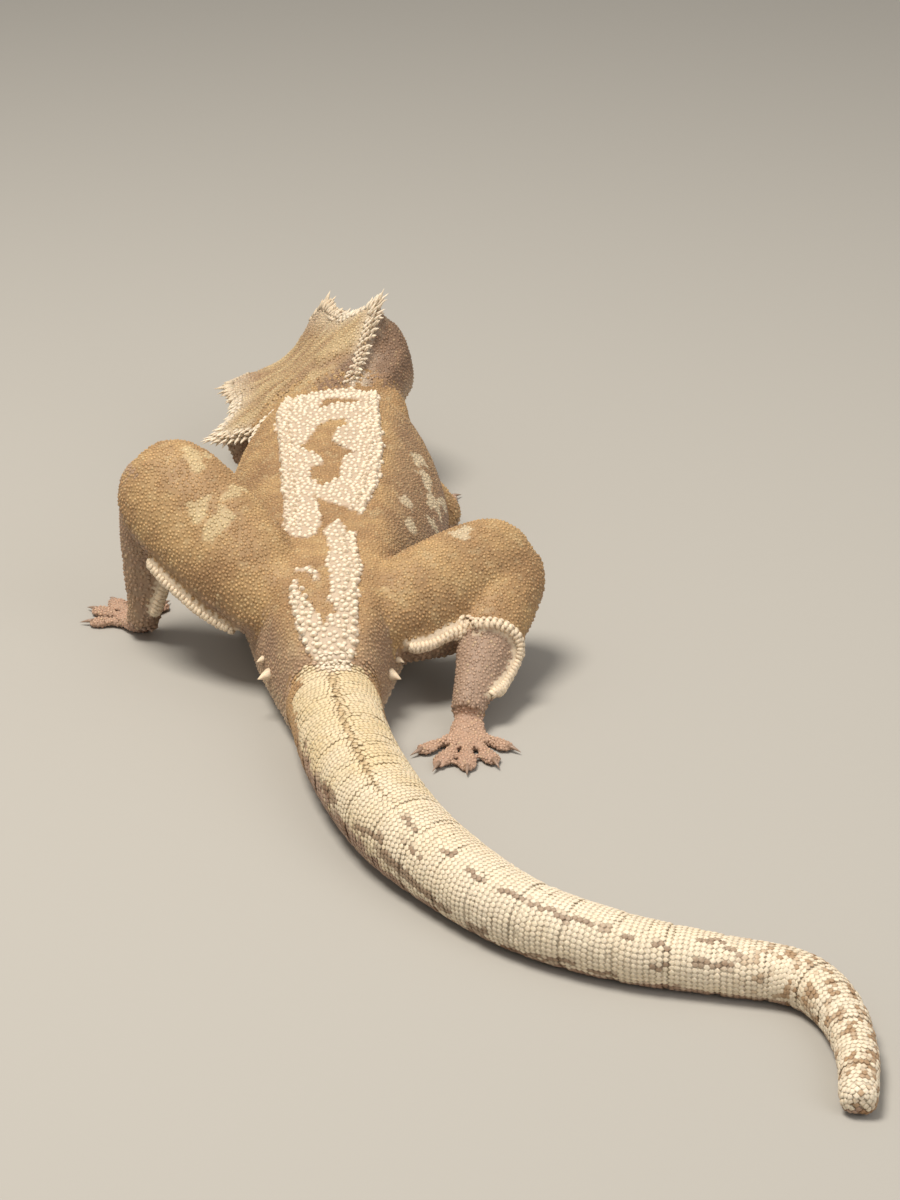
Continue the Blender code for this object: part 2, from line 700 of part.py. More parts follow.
def make_tail():
    lengths = []
    for name, (start, stop) in TAIL_CUTS.items():
        rings, ways = [], []
        for k in range(TAIL_STEPS):
            ring, way = tail_ring(start + (stop - start) * k / (TAIL_STEPS - 1))
            rings.append(ring)
            ways.append(way)
        if name == "tail_tip":
            centre = sum(rings[-1], Vector()) / len(rings[-1])
            rings.append([centre + (p - centre) * 0.55 + ways[-1] * 1.1 for p in rings[-1]])
        form = loft(rings)
        if name == "tail_base":
            slice_off(form, Vector((0, TAIL_FRONT, 0)), Vector((0, 1, 0)))
        else:
            slice_off(form, sum(rings[0], Vector()) / len(rings[0]) + ways[0] * GAP, -ways[0])
        length = piece(name, form)
        on_floor(length)
        lengths.append(length)
    return lengths


def limb_axes(start, stop, up):
    """The way along a limb, the way across it and its own up."""
    ahead = (stop - start).normalized()
    across = ahead.cross(up).normalized()
    return ahead, across, across.cross(ahead)


def limb_form(start, stop, up, sections, grow=0.0, count=12):
    """One length of a limb: ovals along a straight line, wide along up."""
    _, across, level = limb_axes(start, stop, up)
    rings = [oval(start.lerp(stop, s.share), across, level, s.across, s.up, count) for s in sections]
    return fatter(loft(rings), grow)


def fringe_path(start, stop, up, sections, fringe):
    """Along the edge of a limb, with the way that its scales stand out."""
    _, across, level = limb_axes(start, stop, up)
    path = []
    for k in range(FRINGE_POINTS):
        here = between(fringe, fringe[-1].along * k / (FRINGE_POINTS - 1))
        girth = between(sections, here.share)
        angle = math.radians(here.angle)
        out = across * girth.across * math.cos(angle) + level * girth.up * math.sin(angle)
        path.append((start.lerp(stop, here.share) + out, out.normalized()))
    return path


def foot_forms(heel, toward, foot):
    """The palm, the five toes with their pads, and the claws of one foot, all flat on the floor."""
    ahead = toward - heel
    ahead.z = 0.0
    ahead.normalize()
    floor_up = Vector((0, 0, 1))
    palm_at = Vector((heel.x, heel.y, 0.0)) + ahead * foot.palm
    side = ahead.cross(floor_up)

    def flat(at, side, pad, count):
        return oval(at + floor_up * (pad.tall * SOLE_SHARE), side, floor_up, pad.half, pad.tall, count)

    forms = [loft([flat(palm_at + ahead * pad.along, side, pad, 12) for pad in PALM])]
    for angle, length in zip(foot.spread, foot.lengths):
        way = Matrix.Rotation(math.radians(-angle), 3, "Z") @ ahead
        start = palm_at + way * TOE_ROOT
        side = way.cross(floor_up)
        forms.append(loft([flat(start + way * (length * pad.along), side, pad, 8) for pad in TOE]))
        claw_at = start + way * length + floor_up * CLAW_HIGH
        forms.append(spike(claw_at, way - floor_up * CLAW_DROP, CLAW, CLAW.out))
    return forms


def make_limb(side, limb, kind):
    """The three lengths of one limb, each carved clear of what it grows from."""
    hind = kind == "hind"
    names = ("thigh", "shank", "foot") if hind else ("upper_arm", "forearm", "hand")
    first_name, second_name, third_name = [f"{side}_{name}" for name in names]
    first_girths, second_girths = (THIGH, SHANK) if hind else (UPPER_ARM, FOREARM)
    foot = HIND_FOOT if hind else FORE_FOOT
    along_first = (limb.bend - limb.root).normalized()

    def first_form(grow=0.0):
        return limb_form(limb.root, limb.bend, limb.up, first_girths, grow)

    def second_form(grow=0.0):
        return limb_form(limb.bend, limb.end, along_first, second_girths, grow)

    def first_fringe(grow=0.0):
        path = fringe_path(limb.root, limb.bend, limb.up, first_girths, THIGH_FRINGE[side])
        return spike_row(path, FRINGE_ROW, 20, grow=grow)

    first = piece(first_name, first_form())
    second = piece(second_name, second_form())
    above = [trunk_form(GAP), first_form(GAP)]
    if hind:
        fuse(first, first_fringe())
        path = fringe_path(limb.bend, limb.end, along_first, second_girths, SHANK_FRINGE[side])
        fuse(second, spike_row(path, FRINGE_ROW, 21))
        above += first_fringe(GAP) + back_spines(GAP)
    carve(first, [trunk_form(GAP)] + back_spines(GAP))
    carve(second, above)
    forms = foot_forms(limb.end, limb.toes, foot)
    third = piece(third_name, forms[0])
    fuse(third, forms[1:])
    carve(third, [second_form(GAP)])
    for thing in (first, second, third):
        on_floor(thing)
    return [first, second, third]


def shade(thing):
    thing.data.shade_smooth()
    thing.data.set_sharp_from_angle(angle=math.radians(50))


def set_down(things):
    """Move everything so that the middle of its footprint is the origin, and go from mm to metres."""
    corners = [vert.co for thing in things for vert in thing.data.vertices]
    low = [min(c[i] for c in corners) for i in range(3)]
    high = [max(c[i] for c in corners) for i in range(3)]
    shift = Vector((-(low[0] + high[0]) / 2, -(low[1] + high[1]) / 2, -low[2]))
    for thing in things:
        thing.data.transform(Matrix.Scale(MM, 4) @ Matrix.Translation(shift))


def main():
    clear_scene()
    heads, eyes = make_head()
    tans = heads + [make_neck(), make_torso()]
    creams = make_tail()
    pales = []
    for side in ("right", "left"):
        for limbs, kind in ((HIND, "hind"), (FORE, "fore")):
            first, second, third = make_limb(side, limbs[side], kind)
            tans += [first, second]
            pales.append(third)
    finished = {"skin_tan": tans, "skin_cream": creams, "skin_pale": pales, "eye_gloss": eyes}
    for name, things in finished.items():
        for thing in things:
            thing.data.materials.clear()
            thing.data.materials.append(finish(name))
            shade(thing)
    set_down(tans + creams + pales + eyes)


main()
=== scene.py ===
"""The look of a life-size crested gecko: skin, scales, spines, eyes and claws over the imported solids.

All sizes are millimetres on the animal's own plan until a piece is made: +Y is the way it faces, +X its
right side, +Z up, with x = 0 and y = 0 under the root of the tail and the floor at z = 0.
"""

import math
import random
from collections import namedtuple

import bmesh
import bpy
import numpy as np
from mathutils import Matrix, Vector, noise
from mathutils.bvhtree import BVHTree
from mathutils.kdtree import KDTree


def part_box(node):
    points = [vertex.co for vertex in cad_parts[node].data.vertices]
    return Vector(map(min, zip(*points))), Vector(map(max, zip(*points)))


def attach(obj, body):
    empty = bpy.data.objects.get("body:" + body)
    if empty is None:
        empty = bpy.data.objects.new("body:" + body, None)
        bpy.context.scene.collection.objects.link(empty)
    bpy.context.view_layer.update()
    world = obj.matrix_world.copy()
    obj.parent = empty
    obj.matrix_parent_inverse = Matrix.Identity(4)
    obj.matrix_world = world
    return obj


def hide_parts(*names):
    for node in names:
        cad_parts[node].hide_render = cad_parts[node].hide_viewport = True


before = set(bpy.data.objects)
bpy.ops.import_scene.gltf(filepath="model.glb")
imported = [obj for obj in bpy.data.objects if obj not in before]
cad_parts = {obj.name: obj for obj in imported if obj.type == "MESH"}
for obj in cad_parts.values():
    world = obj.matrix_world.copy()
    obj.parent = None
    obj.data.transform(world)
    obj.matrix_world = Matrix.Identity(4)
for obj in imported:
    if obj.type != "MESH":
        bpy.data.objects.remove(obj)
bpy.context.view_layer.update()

MM = 0.001
QUARTER = math.pi / 2

# Trunk: height of the back and the belly, half width, half distance of the two ridges of the back,
# and how far the back leans to the left, in degrees
Trunk = namedtuple("Trunk", "y x top belly half ridge lean")
TRUNK = [
    Trunk(3.0, 0.7, 9.7, -0.2, 4.9, 2.9, 0.0),
    Trunk(8.0, 0.3, 12.2, -0.2, 6.3, 4.2, 0.0),
    Trunk(14.0, 0.0, 14.2, -0.2, 8.0, 5.2, 0.0),
    Trunk(22.0, -0.3, 15.4, -0.2, 9.6, 5.9, 1.0),
    Trunk(31.0, -0.5, 16.2, -0.2, 11.6, 6.4, 3.0),
    Trunk(40.0, -0.6, 16.8, -0.2, 13.2, 6.6, 5.0),
    Trunk(48.0, -0.6, 17.6, 0.2, 13.4, 6.6, 6.0),
    Trunk(55.0, -0.6, 18.2, 1.2, 12.4, 6.5, 7.0),
    Trunk(61.0, -0.4, 17.8, 2.2, 10.9, 6.1, 8.0),
    Trunk(66.0, -0.6, 15.4, 3.4, 9.3, 5.0, 10.0),
]
RIDGE_DROP = 0.5

# Head in its own frame: x to its right, y to the snout, z up, from the middle between the two rear
# corners of the crown
HEAD_AT = Vector((-6.5, 73.4, 16.9))
HEAD_YAW = 10.5
HEAD_PITCH = -10.0
HEAD_ROLL = 37.0
Skull = namedtuple("Skull", "y crest crest_z crown cheek cheek_z jaw jaw_z throat")
SKULL = [
    Skull(-6.5, 4.6, -4.4, -3.9, 7.4, -7.0, 5.6, -9.6, -10.8),
    Skull(-4.5, 6.2, -4.0, -3.1, 9.4, -7.0, 7.6, -10.4, -11.8),
    Skull(-2.0, 9.2, -3.0, -1.8, 11.6, -7.0, 9.4, -11.0, -12.6),
    Skull(-0.8, 12.3, -1.2, -0.9, 12.4, -7.0, 10.2, -11.2, -12.9),
    Skull(0.4, 14.0, 0.0, -0.5, 12.9, -6.9, 10.6, -11.2, -13.0),
    Skull(2.4, 12.0, 0.1, -0.5, 13.2, -6.8, 10.8, -11.1, -12.9),
    Skull(4.6, 10.2, 0.2, -0.5, 13.0, -6.6, 10.6, -10.9, -12.7),
    Skull(7.4, 9.3, 0.7, -0.6, 12.3, -6.4, 10.1, -10.6, -12.3),
    Skull(11.0, 9.0, 1.3, -0.8, 10.9, -6.3, 9.2, -10.2, -11.8),
    Skull(14.5, 8.6, 1.6, -1.0, 9.6, -6.2, 8.3, -9.8, -11.3),
    Skull(18.0, 6.8, 0.6, -1.3, 8.5, -6.2, 7.4, -9.4, -10.8),
    Skull(21.5, 5.0, -1.2, -2.1, 7.2, -6.1, 6.3, -9.0, -10.2),
    Skull(25.0, 4.0, -2.8, -2.9, 5.8, -6.0, 5.1, -8.5, -9.6),
    Skull(28.0, 3.1, -3.9, -3.7, 4.2, -6.0, 3.8, -8.0, -8.9),
    Skull(29.8, 1.8, -4.8, -4.6, 2.4, -6.1, 2.2, -7.4, -8.0),
]
CREST_DEEP = 1.6
CHEEK_FULL = 0.6
EYE_AT = Vector((7.1, 14.0, -3.3))
EYE_RADIUS = 3.6
EYE_FACES = Vector((0.95, 0.25, 0.15))
LID_RING = 3.35
LID_THICK = 0.6
LID_CLEAR = 0.3
EAR_Y, EAR_Z = 1.6, -6.3
NOSTRIL_Y, NOSTRIL_Z = 28.4, -4.8
# The mouth in side view, from its corner to past the snout
Mouth = namedtuple("Mouth", "y z")
MOUTH = [
    Mouth(6.0, -8.1), Mouth(9.0, -8.5), Mouth(15.0, -8.3), Mouth(22.0, -7.5), Mouth(28.0, -7.0),
    Mouth(33.0, -6.7),
]
# How the crest's spines point along its edge, from the nape round the rear corner to the brow
Lie = namedtuple("Lie", "y side ahead up")
CREST_LIES = [
    Lie(-6.0, 0.3, -0.8, 0.6), Lie(-0.8, 0.7, -0.7, 0.4), Lie(0.8, 0.9, -0.25, 0.45),
    Lie(8.0, 0.9, -0.25, 0.4), Lie(15.5, 0.85, 0.05, 0.6), Lie(19.0, 0.8, 0.1, 0.5),
]
# The longest spines, at the rear corner and over the eye: place along the head, width, extra length
LONG_SPINES = [(0.5, 1.5, 1.3), (13.5, 2.2, 0.9)]
SPUR_Y = 9.0

# Neck: from inside the trunk to inside the skull, in the frame of the head
NECK_FROM = Vector((-0.6, 57.5, 9.6))
NECK_TO = Vector((0.0, 3.5, -7.0))
NECK_HALF_WIDTH = 10.0
NECK_HALF_HEIGHT = 5.9

# Tail: x, y and half width of points along its middle, which lies on the floor
Tail = namedtuple("Tail", "along x y half")
TAIL = [
    Tail(0, 0.6, 4.6, 4.95),
    Tail(1, 2.9, -8.0, 4.8),
    Tail(2, 7.2, -20.6, 4.55),
    Tail(3, 12.5, -29.3, 4.0),
    Tail(4, 19.6, -37.4, 3.55),
    Tail(5, 28.0, -42.4, 3.25),
    Tail(6, 37.0, -45.0, 2.85),
    Tail(7, 43.6, -47.0, 2.65),
    Tail(8, 46.5, -51.4, 2.3),
    Tail(9, 47.3, -57.6, 1.95),
    Tail(10, 46.6, -64.0, 1.75),
]
TAIL_TALL = 0.93

# Limbs: the joints of each one, where its toes point, and the way the broad side of its first
# length faces up
Limb = namedtuple("Limb", "root bend end toes up")
HIND = {
    "right": Limb(
        Vector((4.6, 14.0, 8.5)), Vector((19.6, 24.0, 11.0)), Vector((15.0, 6.4, 2.6)),
        Vector((14.2, -6.0, 0.0)), Vector((0.0, 0.38, 0.92)),
    ),
    "left": Limb(
        Vector((-4.8, 16.4, 8.9)), Vector((-19.2, 27.7, 19.9)), Vector((-21.8, 29.6, 2.4)),
        Vector((-27.0, 41.0, 0.0)), Vector((0.56, 0.38, 0.735)),
    ),
}
FORE = {
    "right": Limb(
        Vector((5.4, 61.0, 8.4)), Vector((12.0, 55.4, 4.6)), Vector((10.6, 65.6, 2.1)),
        Vector((7.6, 76.0, 0.0)), Vector((0.0, 0.2, 0.98)),
    ),
    "left": Limb(
        Vector((-6.6, 61.0, 8.0)), Vector((-13.4, 55.4, 4.4)), Vector((-12.4, 65.6, 2.1)),
        Vector((-12.0, 76.0, 0.0)), Vector((0.0, 0.2, 0.98)),
    ),
}
# Along each length of a limb: share of the way, half height, half depth
Girth = namedtuple("Girth", "share up across")
THIGH = [
    Girth(0.0, 4.4, 4.2), Girth(0.15, 5.3, 4.6), Girth(0.36, 6.3, 5.0), Girth(0.62, 6.6, 4.8),
    Girth(0.88, 6.4, 4.5), Girth(1.04, 5.4, 3.8), Girth(1.14, 3.4, 2.4),
]
SHANK = [
    Girth(-0.08, 3.6, 3.2), Girth(0.08, 4.4, 3.8), Girth(0.35, 4.1, 3.6), Girth(0.65, 3.1, 2.8),
    Girth(0.9, 2.2, 2.1), Girth(1.06, 1.9, 1.9),
]
UPPER_ARM = [
    Girth(0.0, 3.4, 3.0), Girth(0.3, 3.4, 3.0), Girth(0.7, 3.0, 2.7), Girth(0.95, 2.6, 2.4),
    Girth(1.1, 1.4, 1.3),
]
FOREARM = [
    Girth(-0.1, 2.0, 1.9), Girth(0.08, 2.7, 2.5), Girth(0.4, 2.6, 2.4), Girth(0.75, 2.0, 1.9),
    Girth(1.05, 1.6, 1.6),
]
# Fringe of large scales: points in order along it, each a share of the way along the limb and an
# angle round it
Fringe = namedtuple("Fringe", "along share angle")
THIGH_FRINGE = {
    "right": [Fringe(0, 0.06, -34), Fringe(1, 0.2, -36), Fringe(2, 0.34, -29), Fringe(3, 0.47, -27)],
    "left": [Fringe(0, 0.1, -95), Fringe(1, 0.35, -97), Fringe(2, 0.6, -97), Fringe(3, 0.72, -95)],
}
SHANK_FRINGE = {
    "right": [
        Fringe(0, 0.58, -28), Fringe(1, 0.55, 14), Fringe(2, 0.57, 58), Fringe(3, 0.66, 84),
        Fringe(4, 0.82, 82), Fringe(5, 0.95, 56),
    ],
    "left": [Fringe(0, 0.45, -100), Fringe(1, 0.7, -108), Fringe(2, 0.92, -114)],
}
FRINGE_POINTS = 40
# Feet: angle in degrees and length of each toe, and how far the palm lies ahead of the ankle
Foot = namedtuple("Foot", "spread lengths palm")
HIND_FOOT = Foot((-58.0, -27.0, -3.0, 20.0, 48.0), (4.6, 6.0, 6.8, 6.8, 5.4), 2.4)
FORE_FOOT = Foot((-60.0, -30.0, 0.0, 30.0, 60.0), (3.8, 4.8, 5.3, 5.0, 4.2), 2.1)
Pad = namedtuple("Pad", "along half tall")
PALM = [
    Pad(-2.0, 1.2, 0.9), Pad(-1.2, 1.8, 1.2), Pad(0.0, 2.1, 1.1), Pad(1.0, 2.0, 0.9), Pad(1.7, 1.2, 0.6),
]
TOE = [
    Pad(0.0, 0.9, 0.8), Pad(0.45, 0.72, 0.72), Pad(0.7, 1.15, 0.62), Pad(0.92, 1.3, 0.55),
    Pad(1.08, 0.6, 0.35),
]
TOE_ROOT = 0.9
SOLE_SHARE = 0.85

# Markings of the back, as outlines seen from above
FRONT_PATCH = [
    (-6.5, 66.0), (-5.7, 68.3), (-0.1, 67.4), (1.8, 67.1), (4.2, 62.3), (5.0, 49.0), (5.3, 45.5), (5.0, 39.2),
    (4.7, 33.9), (3.2, 27.4), (1.9, 28.9), (-0.4, 30.2), (-2.4, 32.4), (-1.7, 29.8), (-1.0, 24.8),
    (-2.3, 22.0), (-4.4, 22.5), (-5.3, 24.0), (-5.8, 31.8), (-6.8, 42.7), (-7.9, 54.0),
]
FRONT_HOLLOW = [
    (0.3, 52.0), (0.7, 50.6), (-0.5, 50.2), (-1.1, 46.6), (0.8, 44.1), (1.4, 43.6), (0.6, 42.3), (0.2, 40.6),
    (0.2, 37.4), (-1.5, 35.1), (-2.3, 36.3), (-3.0, 39.6), (-1.6, 40.4), (-1.5, 42.5), (-3.9, 44.7),
    (-4.4, 45.6), (-3.4, 46.9), (-2.6, 49.4), (-2.2, 50.9), (-1.0, 51.8),
]
NAPE_STREAKS = [
    [(-2.4, 56.4), (-2.2, 58.8), (-0.6, 59.2), (1.9, 57.6), (0.4, 57.2), (-0.6, 57.8)],
    [(-4.4, 62.6), (-3.2, 64.0), (-1.4, 63.2), (-2.6, 62.2)],
]
REAR_PATCH = [
    (0.8, 26.5), (1.6, 24.2), (2.0, 23.3), (3.1, 24.1), (2.4, 21.3), (3.3, 18.5), (3.7, 15.5), (3.3, 12.1),
    (3.5, 6.7), (3.2, 3.8), (2.6, 2.0), (-0.5, 2.0), (-1.7, 3.7), (-2.9, 6.2), (-3.7, 9.2), (-4.2, 12.3),
    (-3.5, 13.7), (-2.8, 12.0), (-1.6, 10.1), (-0.1, 7.2), (0.2, 8.3), (1.1, 8.9), (0.1, 10.7), (0.2, 13.5),
    (-0.3, 17.2), (0.0, 19.3), (-0.9, 23.7), (0.1, 26.0),
]
# The long edges of the patches, each with the way to the patch's inside
PATCH_EDGES = [
    (1, [(-6.7, 65.0), (-7.9, 54.0), (-6.8, 42.7), (-5.8, 31.8), (-5.3, 24.5)]),
    (-1, [(3.4, 64.0), (4.3, 61.0), (5.0, 49.0), (5.3, 45.5), (5.0, 39.2), (4.7, 33.9), (3.6, 29.0)]),
    (-1, [(2.9, 22.6), (3.3, 18.5), (3.7, 15.5), (3.3, 12.1), (3.5, 6.7), (3.2, 3.4)]),
    (1, [(-4.2, 12.3), (-3.7, 9.2), (-2.9, 6.2), (-1.9, 3.7)]),
]
LEFT_ISLET = [(-4.3, 14.8), (-3.5, 15.7), (-2.0, 16.5), (-0.9, 14.4), (-1.1, 13.1), (-2.5, 15.1)]
# Pale blotches of the flanks and thighs: centre and radius
Blotch = namedtuple("Blotch", "x y z radius")
BLOTCHES = [
    Blotch(-14.7, 25.8, 22.4, 2.0), Blotch(-12.3, 19.5, 18.5, 2.2), Blotch(-14.0, 20.6, 19.2, 1.6),
    Blotch(-10.3, 22.8, 20.4, 1.5), Blotch(-9.8, 22.5, 16.0, 1.4), Blotch(-8.3, 21.8, 14.5, 1.6),
    Blotch(14.3, 20.9, 16.7, 1.3), Blotch(9.6, 48.5, 14.4, 1.7), Blotch(10.6, 45.2, 13.2, 1.9),
    Blotch(11.6, 42.2, 11.6, 2.2), Blotch(11.9, 37.6, 10.6, 1.9), Blotch(12.4, 45.4, 9.8, 1.7),
    Blotch(8.1, 35.5, 14.1, 1.2), Blotch(8.9, 31.6, 12.6, 1.6), Blotch(-13.0, 44.0, 9.0, 2.0),
    Blotch(-12.4, 50.0, 10.0, 1.6), Blotch(12.4, 36.0, 7.0, 1.8),
]
# Brown dashes of the tail: from and to along it, and the angles round it from its top, towards the
# outside of its bend
Dash = namedtuple("Dash", "start stop angle_start angle_stop wide")
TAIL_DASHES = [
    Dash(31.7, 34.5, 18, 26, 0.34), Dash(38.5, 39.9, 21, 15, 0.32), Dash(41.9, 43.7, 28, 28, 0.3),
    Dash(45.9, 47.4, 30, 26, 0.34), Dash(48.4, 50.1, 25, 29, 0.3), Dash(51.0, 52.9, 27, 35, 0.34),
    Dash(53.8, 55.3, 26, 29, 0.3), Dash(55.8, 56.9, 30, 30, 0.32), Dash(58.0, 58.7, 27, 56, 0.3),
    Dash(60.6, 62.2, 34, 50, 0.36), Dash(64.6, 66.1, 9, 3, 0.3), Dash(66.9, 67.9, 15, 34, 0.32),
    Dash(19.4, 22.9, 80, 80, 0.5), Dash(24.6, 26.1, 93, 111, 0.5), Dash(27.6, 31.2, 81, 69, 0.4),
    Dash(31.8, 36.0, 84, 91, 0.5), Dash(34.3, 36.5, 48, 54, 0.3), Dash(36.6, 41.3, 93, 107, 0.45),
    Dash(43.9, 45.7, 115, 105, 0.4), Dash(46.6, 54.0, 134, 106, 0.4), Dash(55.7, 57.4, 116, 111, 0.36),
    Dash(60.7, 62.0, 83, 76, 0.34), Dash(64.6, 65.9, 60, 60, 0.34), Dash(66.5, 67.4, 62, 57, 0.32),
]
GROOVE_TO = 29.0
MOTTLED_FROM = 66.0

# Colours of the skin
PALETTE = {
    "tan": "AF8B60", "sand": "C3A06F", "brown": "98744F", "umber": "78583F", "rust": "9C5F38",
    "cream": "E4D4BC", "tail cream": "D8C5A4", "butter": "D2BA8E", "crown": "B89B72", "brow": "A07E60",
    "cheek": "8A6E57", "mauve": "A08676", "fringe": "E6D0B2", "belly": "C9B195", "sole": "C4A08A",
    # The ear's near black is painted shade in the hollows of the ear slits
    # The groove's darker tan is painted shade along the sunken groove of the tail
    "calf": "AE927D", "ear": "2E2019", "groove": "B79B72", "claw": "8A7058", "floor": "A9A59D",
}


def linear(name):
    """A colour of the palette as the red, green and blue that Blender works in."""
    text = PALETTE.get(name, name)
    parts = [int(text[i : i + 2], 16) / 255 for i in (0, 2, 4)]
    return np.array([p / 12.92 if p <= 0.04045 else ((p + 0.055) / 1.055) ** 2.4 for p in parts])


def between(stations, at):
    """The station at one place along a list whose first field grows, on a smooth curve through all."""
    last = len(stations) - 1
    i = 0
    while i < last - 1 and at > stations[i + 1][0]:
        i += 1
    a, b = stations[i], stations[i + 1]
    before = stations[max(i - 1, 0)]
    after = stations[min(i + 2, last)]
    step = b[0] - a[0]
    t = min(max((at - a[0]) / step, 0.0), 1.0)
    values = []
    for p, q, r, s in zip(before, a, b, after):
        slope_q = (r - p) / (b[0] - before[0]) * step
        slope_r = (s - q) / (after[0] - a[0]) * step
        start = q * (2 * t**3 - 3 * t**2 + 1) + slope_q * (t**3 - 2 * t**2 + t)
        values.append(start + r * (3 * t**2 - 2 * t**3) + slope_r * (t**3 - t**2))
    return type(a)(*values)


def steps(start, stop, size):
    """Places at about even steps from a start to a stop, both included."""
    count = max(round(abs(stop - start) / size), 1)
    return [start + (stop - start) * k / count for k in range(count + 1)]


def rounded(points, count):
    """Points spaced evenly along a smooth closed curve through the corners of a ring."""
    ring = np.array([p[:] for p in points])
    chord = np.linalg.norm(np.roll(ring, -1, 0) - ring, axis=1)
    run = np.concatenate(([0.0], np.cumsum(chord)))
    slope = (np.roll(ring, -1, 0) - np.roll(ring, 1, 0)) / (chord + np.roll(chord, 1))[:, None]
    at = np.arange(count) / count * run[-1]
    k = np.searchsorted(run, at, side="right") - 1
    after = (k + 1) % len(ring)
    t = ((at - run[k]) / chord[k])[:, None]
    reach = chord[k][:, None]
    near = ring[k] * (2 * t**3 - 3 * t**2 + 1) + slope[k] * reach * (t**3 - 2 * t**2 + t)
    far = ring[after] * (3 * t**2 - 2 * t**3) + slope[after] * reach * (t**3 - t**2)
    return [Vector(p) for p in near + far]


def oval(centre, across, up, half_across, half_up, count, squareness=1.0):
    """Points of an oval in the plane of two directions. A squareness under 1 fills out its corners."""
    points = []
    for k in range(count):
        angle = 2 * math.pi * k / count
        c, s = math.cos(angle), math.sin(angle)
        a = math.copysign(abs(c) ** squareness, c) * half_across
        b = math.copysign(abs(s) ** squareness, s) * half_up
        points.append(centre + across * a + up * b)
    return points


def loft(rings):
    """A closed bmesh through rings of equal counts of points, by extruding the cap of each to the next."""
    form = bmesh.new()
    first = bmesh.ops.create_circle(form, cap_ends=True, radius=1.0, segments=len(rings[0]))["verts"]
    cap = form.faces[:][0]
    order = [first.index(vert) for vert in cap.verts]
    for vert, place in zip(first, rings[0]):
        vert.co = place
    for number, ring in enumerate(rings[1:]):
        behind = cap
        grown = bmesh.ops.extrude_face_region(form, geom=[behind])["geom"]
        cap = next(item for item in grown if isinstance(item, bmesh.types.BMFace))
        for vert, k in zip(cap.verts, order):
            vert.co = ring[k]
        if number and behind.is_valid:
            bmesh.ops.delete(form, geom=[behind], context="FACES_ONLY")
    bmesh.ops.triangulate(form, faces=[face for face in form.faces if len(face.verts) > 4])
    bmesh.ops.recalc_face_normals(form, faces=form.faces)
    return form


# The forms of flesh

# How far the skin stays over the floor
FLOOR_GAP = 0.03
SKIN_DEPTH = 0.15
FINE_RING = 72
FINE_STEP = 0.9
# A form: its name, its rings from one end to the other, and how far along it each ring lies
Form = namedtuple("Form", "name rings places")


def leaned(s, x, z):
    """A point of one section of the trunk, once the back has leant over."""
    tall = s.top - s.belly
    middle = s.belly + tall * 0.4
    lean = math.sin(math.radians(s.lean))
    share = min(max(((z - middle) / tall + 0.4) / 0.5, 0.0), 1.0)
    return Vector((s.x + x - lean * (z - middle) * share, s.y, z + lean * x * share * 0.6))


def trunk_ring(s):
    """One section of the trunk: a flat back between two ridges, full flanks and a flat belly."""
    tall = s.top - s.belly
    half_ring = [
        (0.0, s.top),
        (s.ridge * 0.55, s.top - 0.1),
        (s.ridge, s.top - RIDGE_DROP),
        (s.ridge + (s.half - s.ridge) * 0.55, s.top - tall * 0.2),
        (s.half * 0.95, s.top - tall * 0.42),
        (s.half, s.top - tall * 0.62),
        (s.half * 0.93, s.belly + tall * 0.17),
        (s.half * 0.66, s.belly + tall * 0.03),
        (0.0, s.belly),
    ]
    ring = half_ring + [(-x, z) for x, z in reversed(half_ring[1:-1])]
    return [leaned(s, x, z) for x, z in ring]


def trunk():
    places = steps(TRUNK[0].y, TRUNK[-1].y, FINE_STEP)
    return Form("trunk", [rounded(trunk_ring(between(TRUNK, y)), FINE_RING) for y in places], places)


def head_frame():
    turn = Matrix.Rotation(math.radians(HEAD_YAW), 4, "Z")
    nod = Matrix.Rotation(math.radians(HEAD_PITCH), 4, "X")
    tip = Matrix.Rotation(math.radians(-HEAD_ROLL), 4, "Y")
    return Matrix.Translation(HEAD_AT) @ turn @ nod @ tip


def half_skull(s):
    """The right half of one section of the head: crown, overhanging crest, cheek, jaw and throat."""
    under = max(s.crest - 2.8, min(s.cheek, s.crest - 0.5))
    under_z = s.crest_z - min(CREST_DEEP, (s.crest_z - s.cheek_z) * 0.45)
    return [
        (0.0, s.crown),
        (s.crest * 0.55, (s.crown + s.crest_z) / 2 - 0.1),
        (s.crest, s.crest_z),
        (under, under_z),
        ((s.cheek + under) / 2 + CHEEK_FULL, (under_z + s.cheek_z) / 2),
        (s.cheek, s.cheek_z),
        ((s.cheek + s.jaw) / 2 + 0.2, (s.cheek_z + s.jaw_z) / 2),
        (s.jaw, s.jaw_z),
        (s.jaw * 0.55, s.throat + 0.25),
        (0.0, s.throat),
    ]


def skull_ring(s):
    half_ring = half_skull(s)
    ring = half_ring + [(-x, z) for x, z in reversed(half_ring[1:-1])]
    return [head_frame() @ Vector((x, s.y, z)) for x, z in ring]


def skull():
    places = steps(SKULL[0].y, SKULL[-1].y, FINE_STEP * 0.6)
    return Form("head", [rounded(skull_ring(between(SKULL, y)), FINE_RING) for y in places], places)


def skull_side(y, z):
    """The point on the right side of the head at one place along it and one height."""
    ring = half_skull(between(SKULL, y))[2:]
    for (x1, z1), (x2, z2) in zip(ring, ring[1:]):
        if z2 <= z <= z1:
            return Vector((x1 + (x2 - x1) * (z1 - z) / (z1 - z2), y, z))
    return Vector((ring[0][0], y, z))


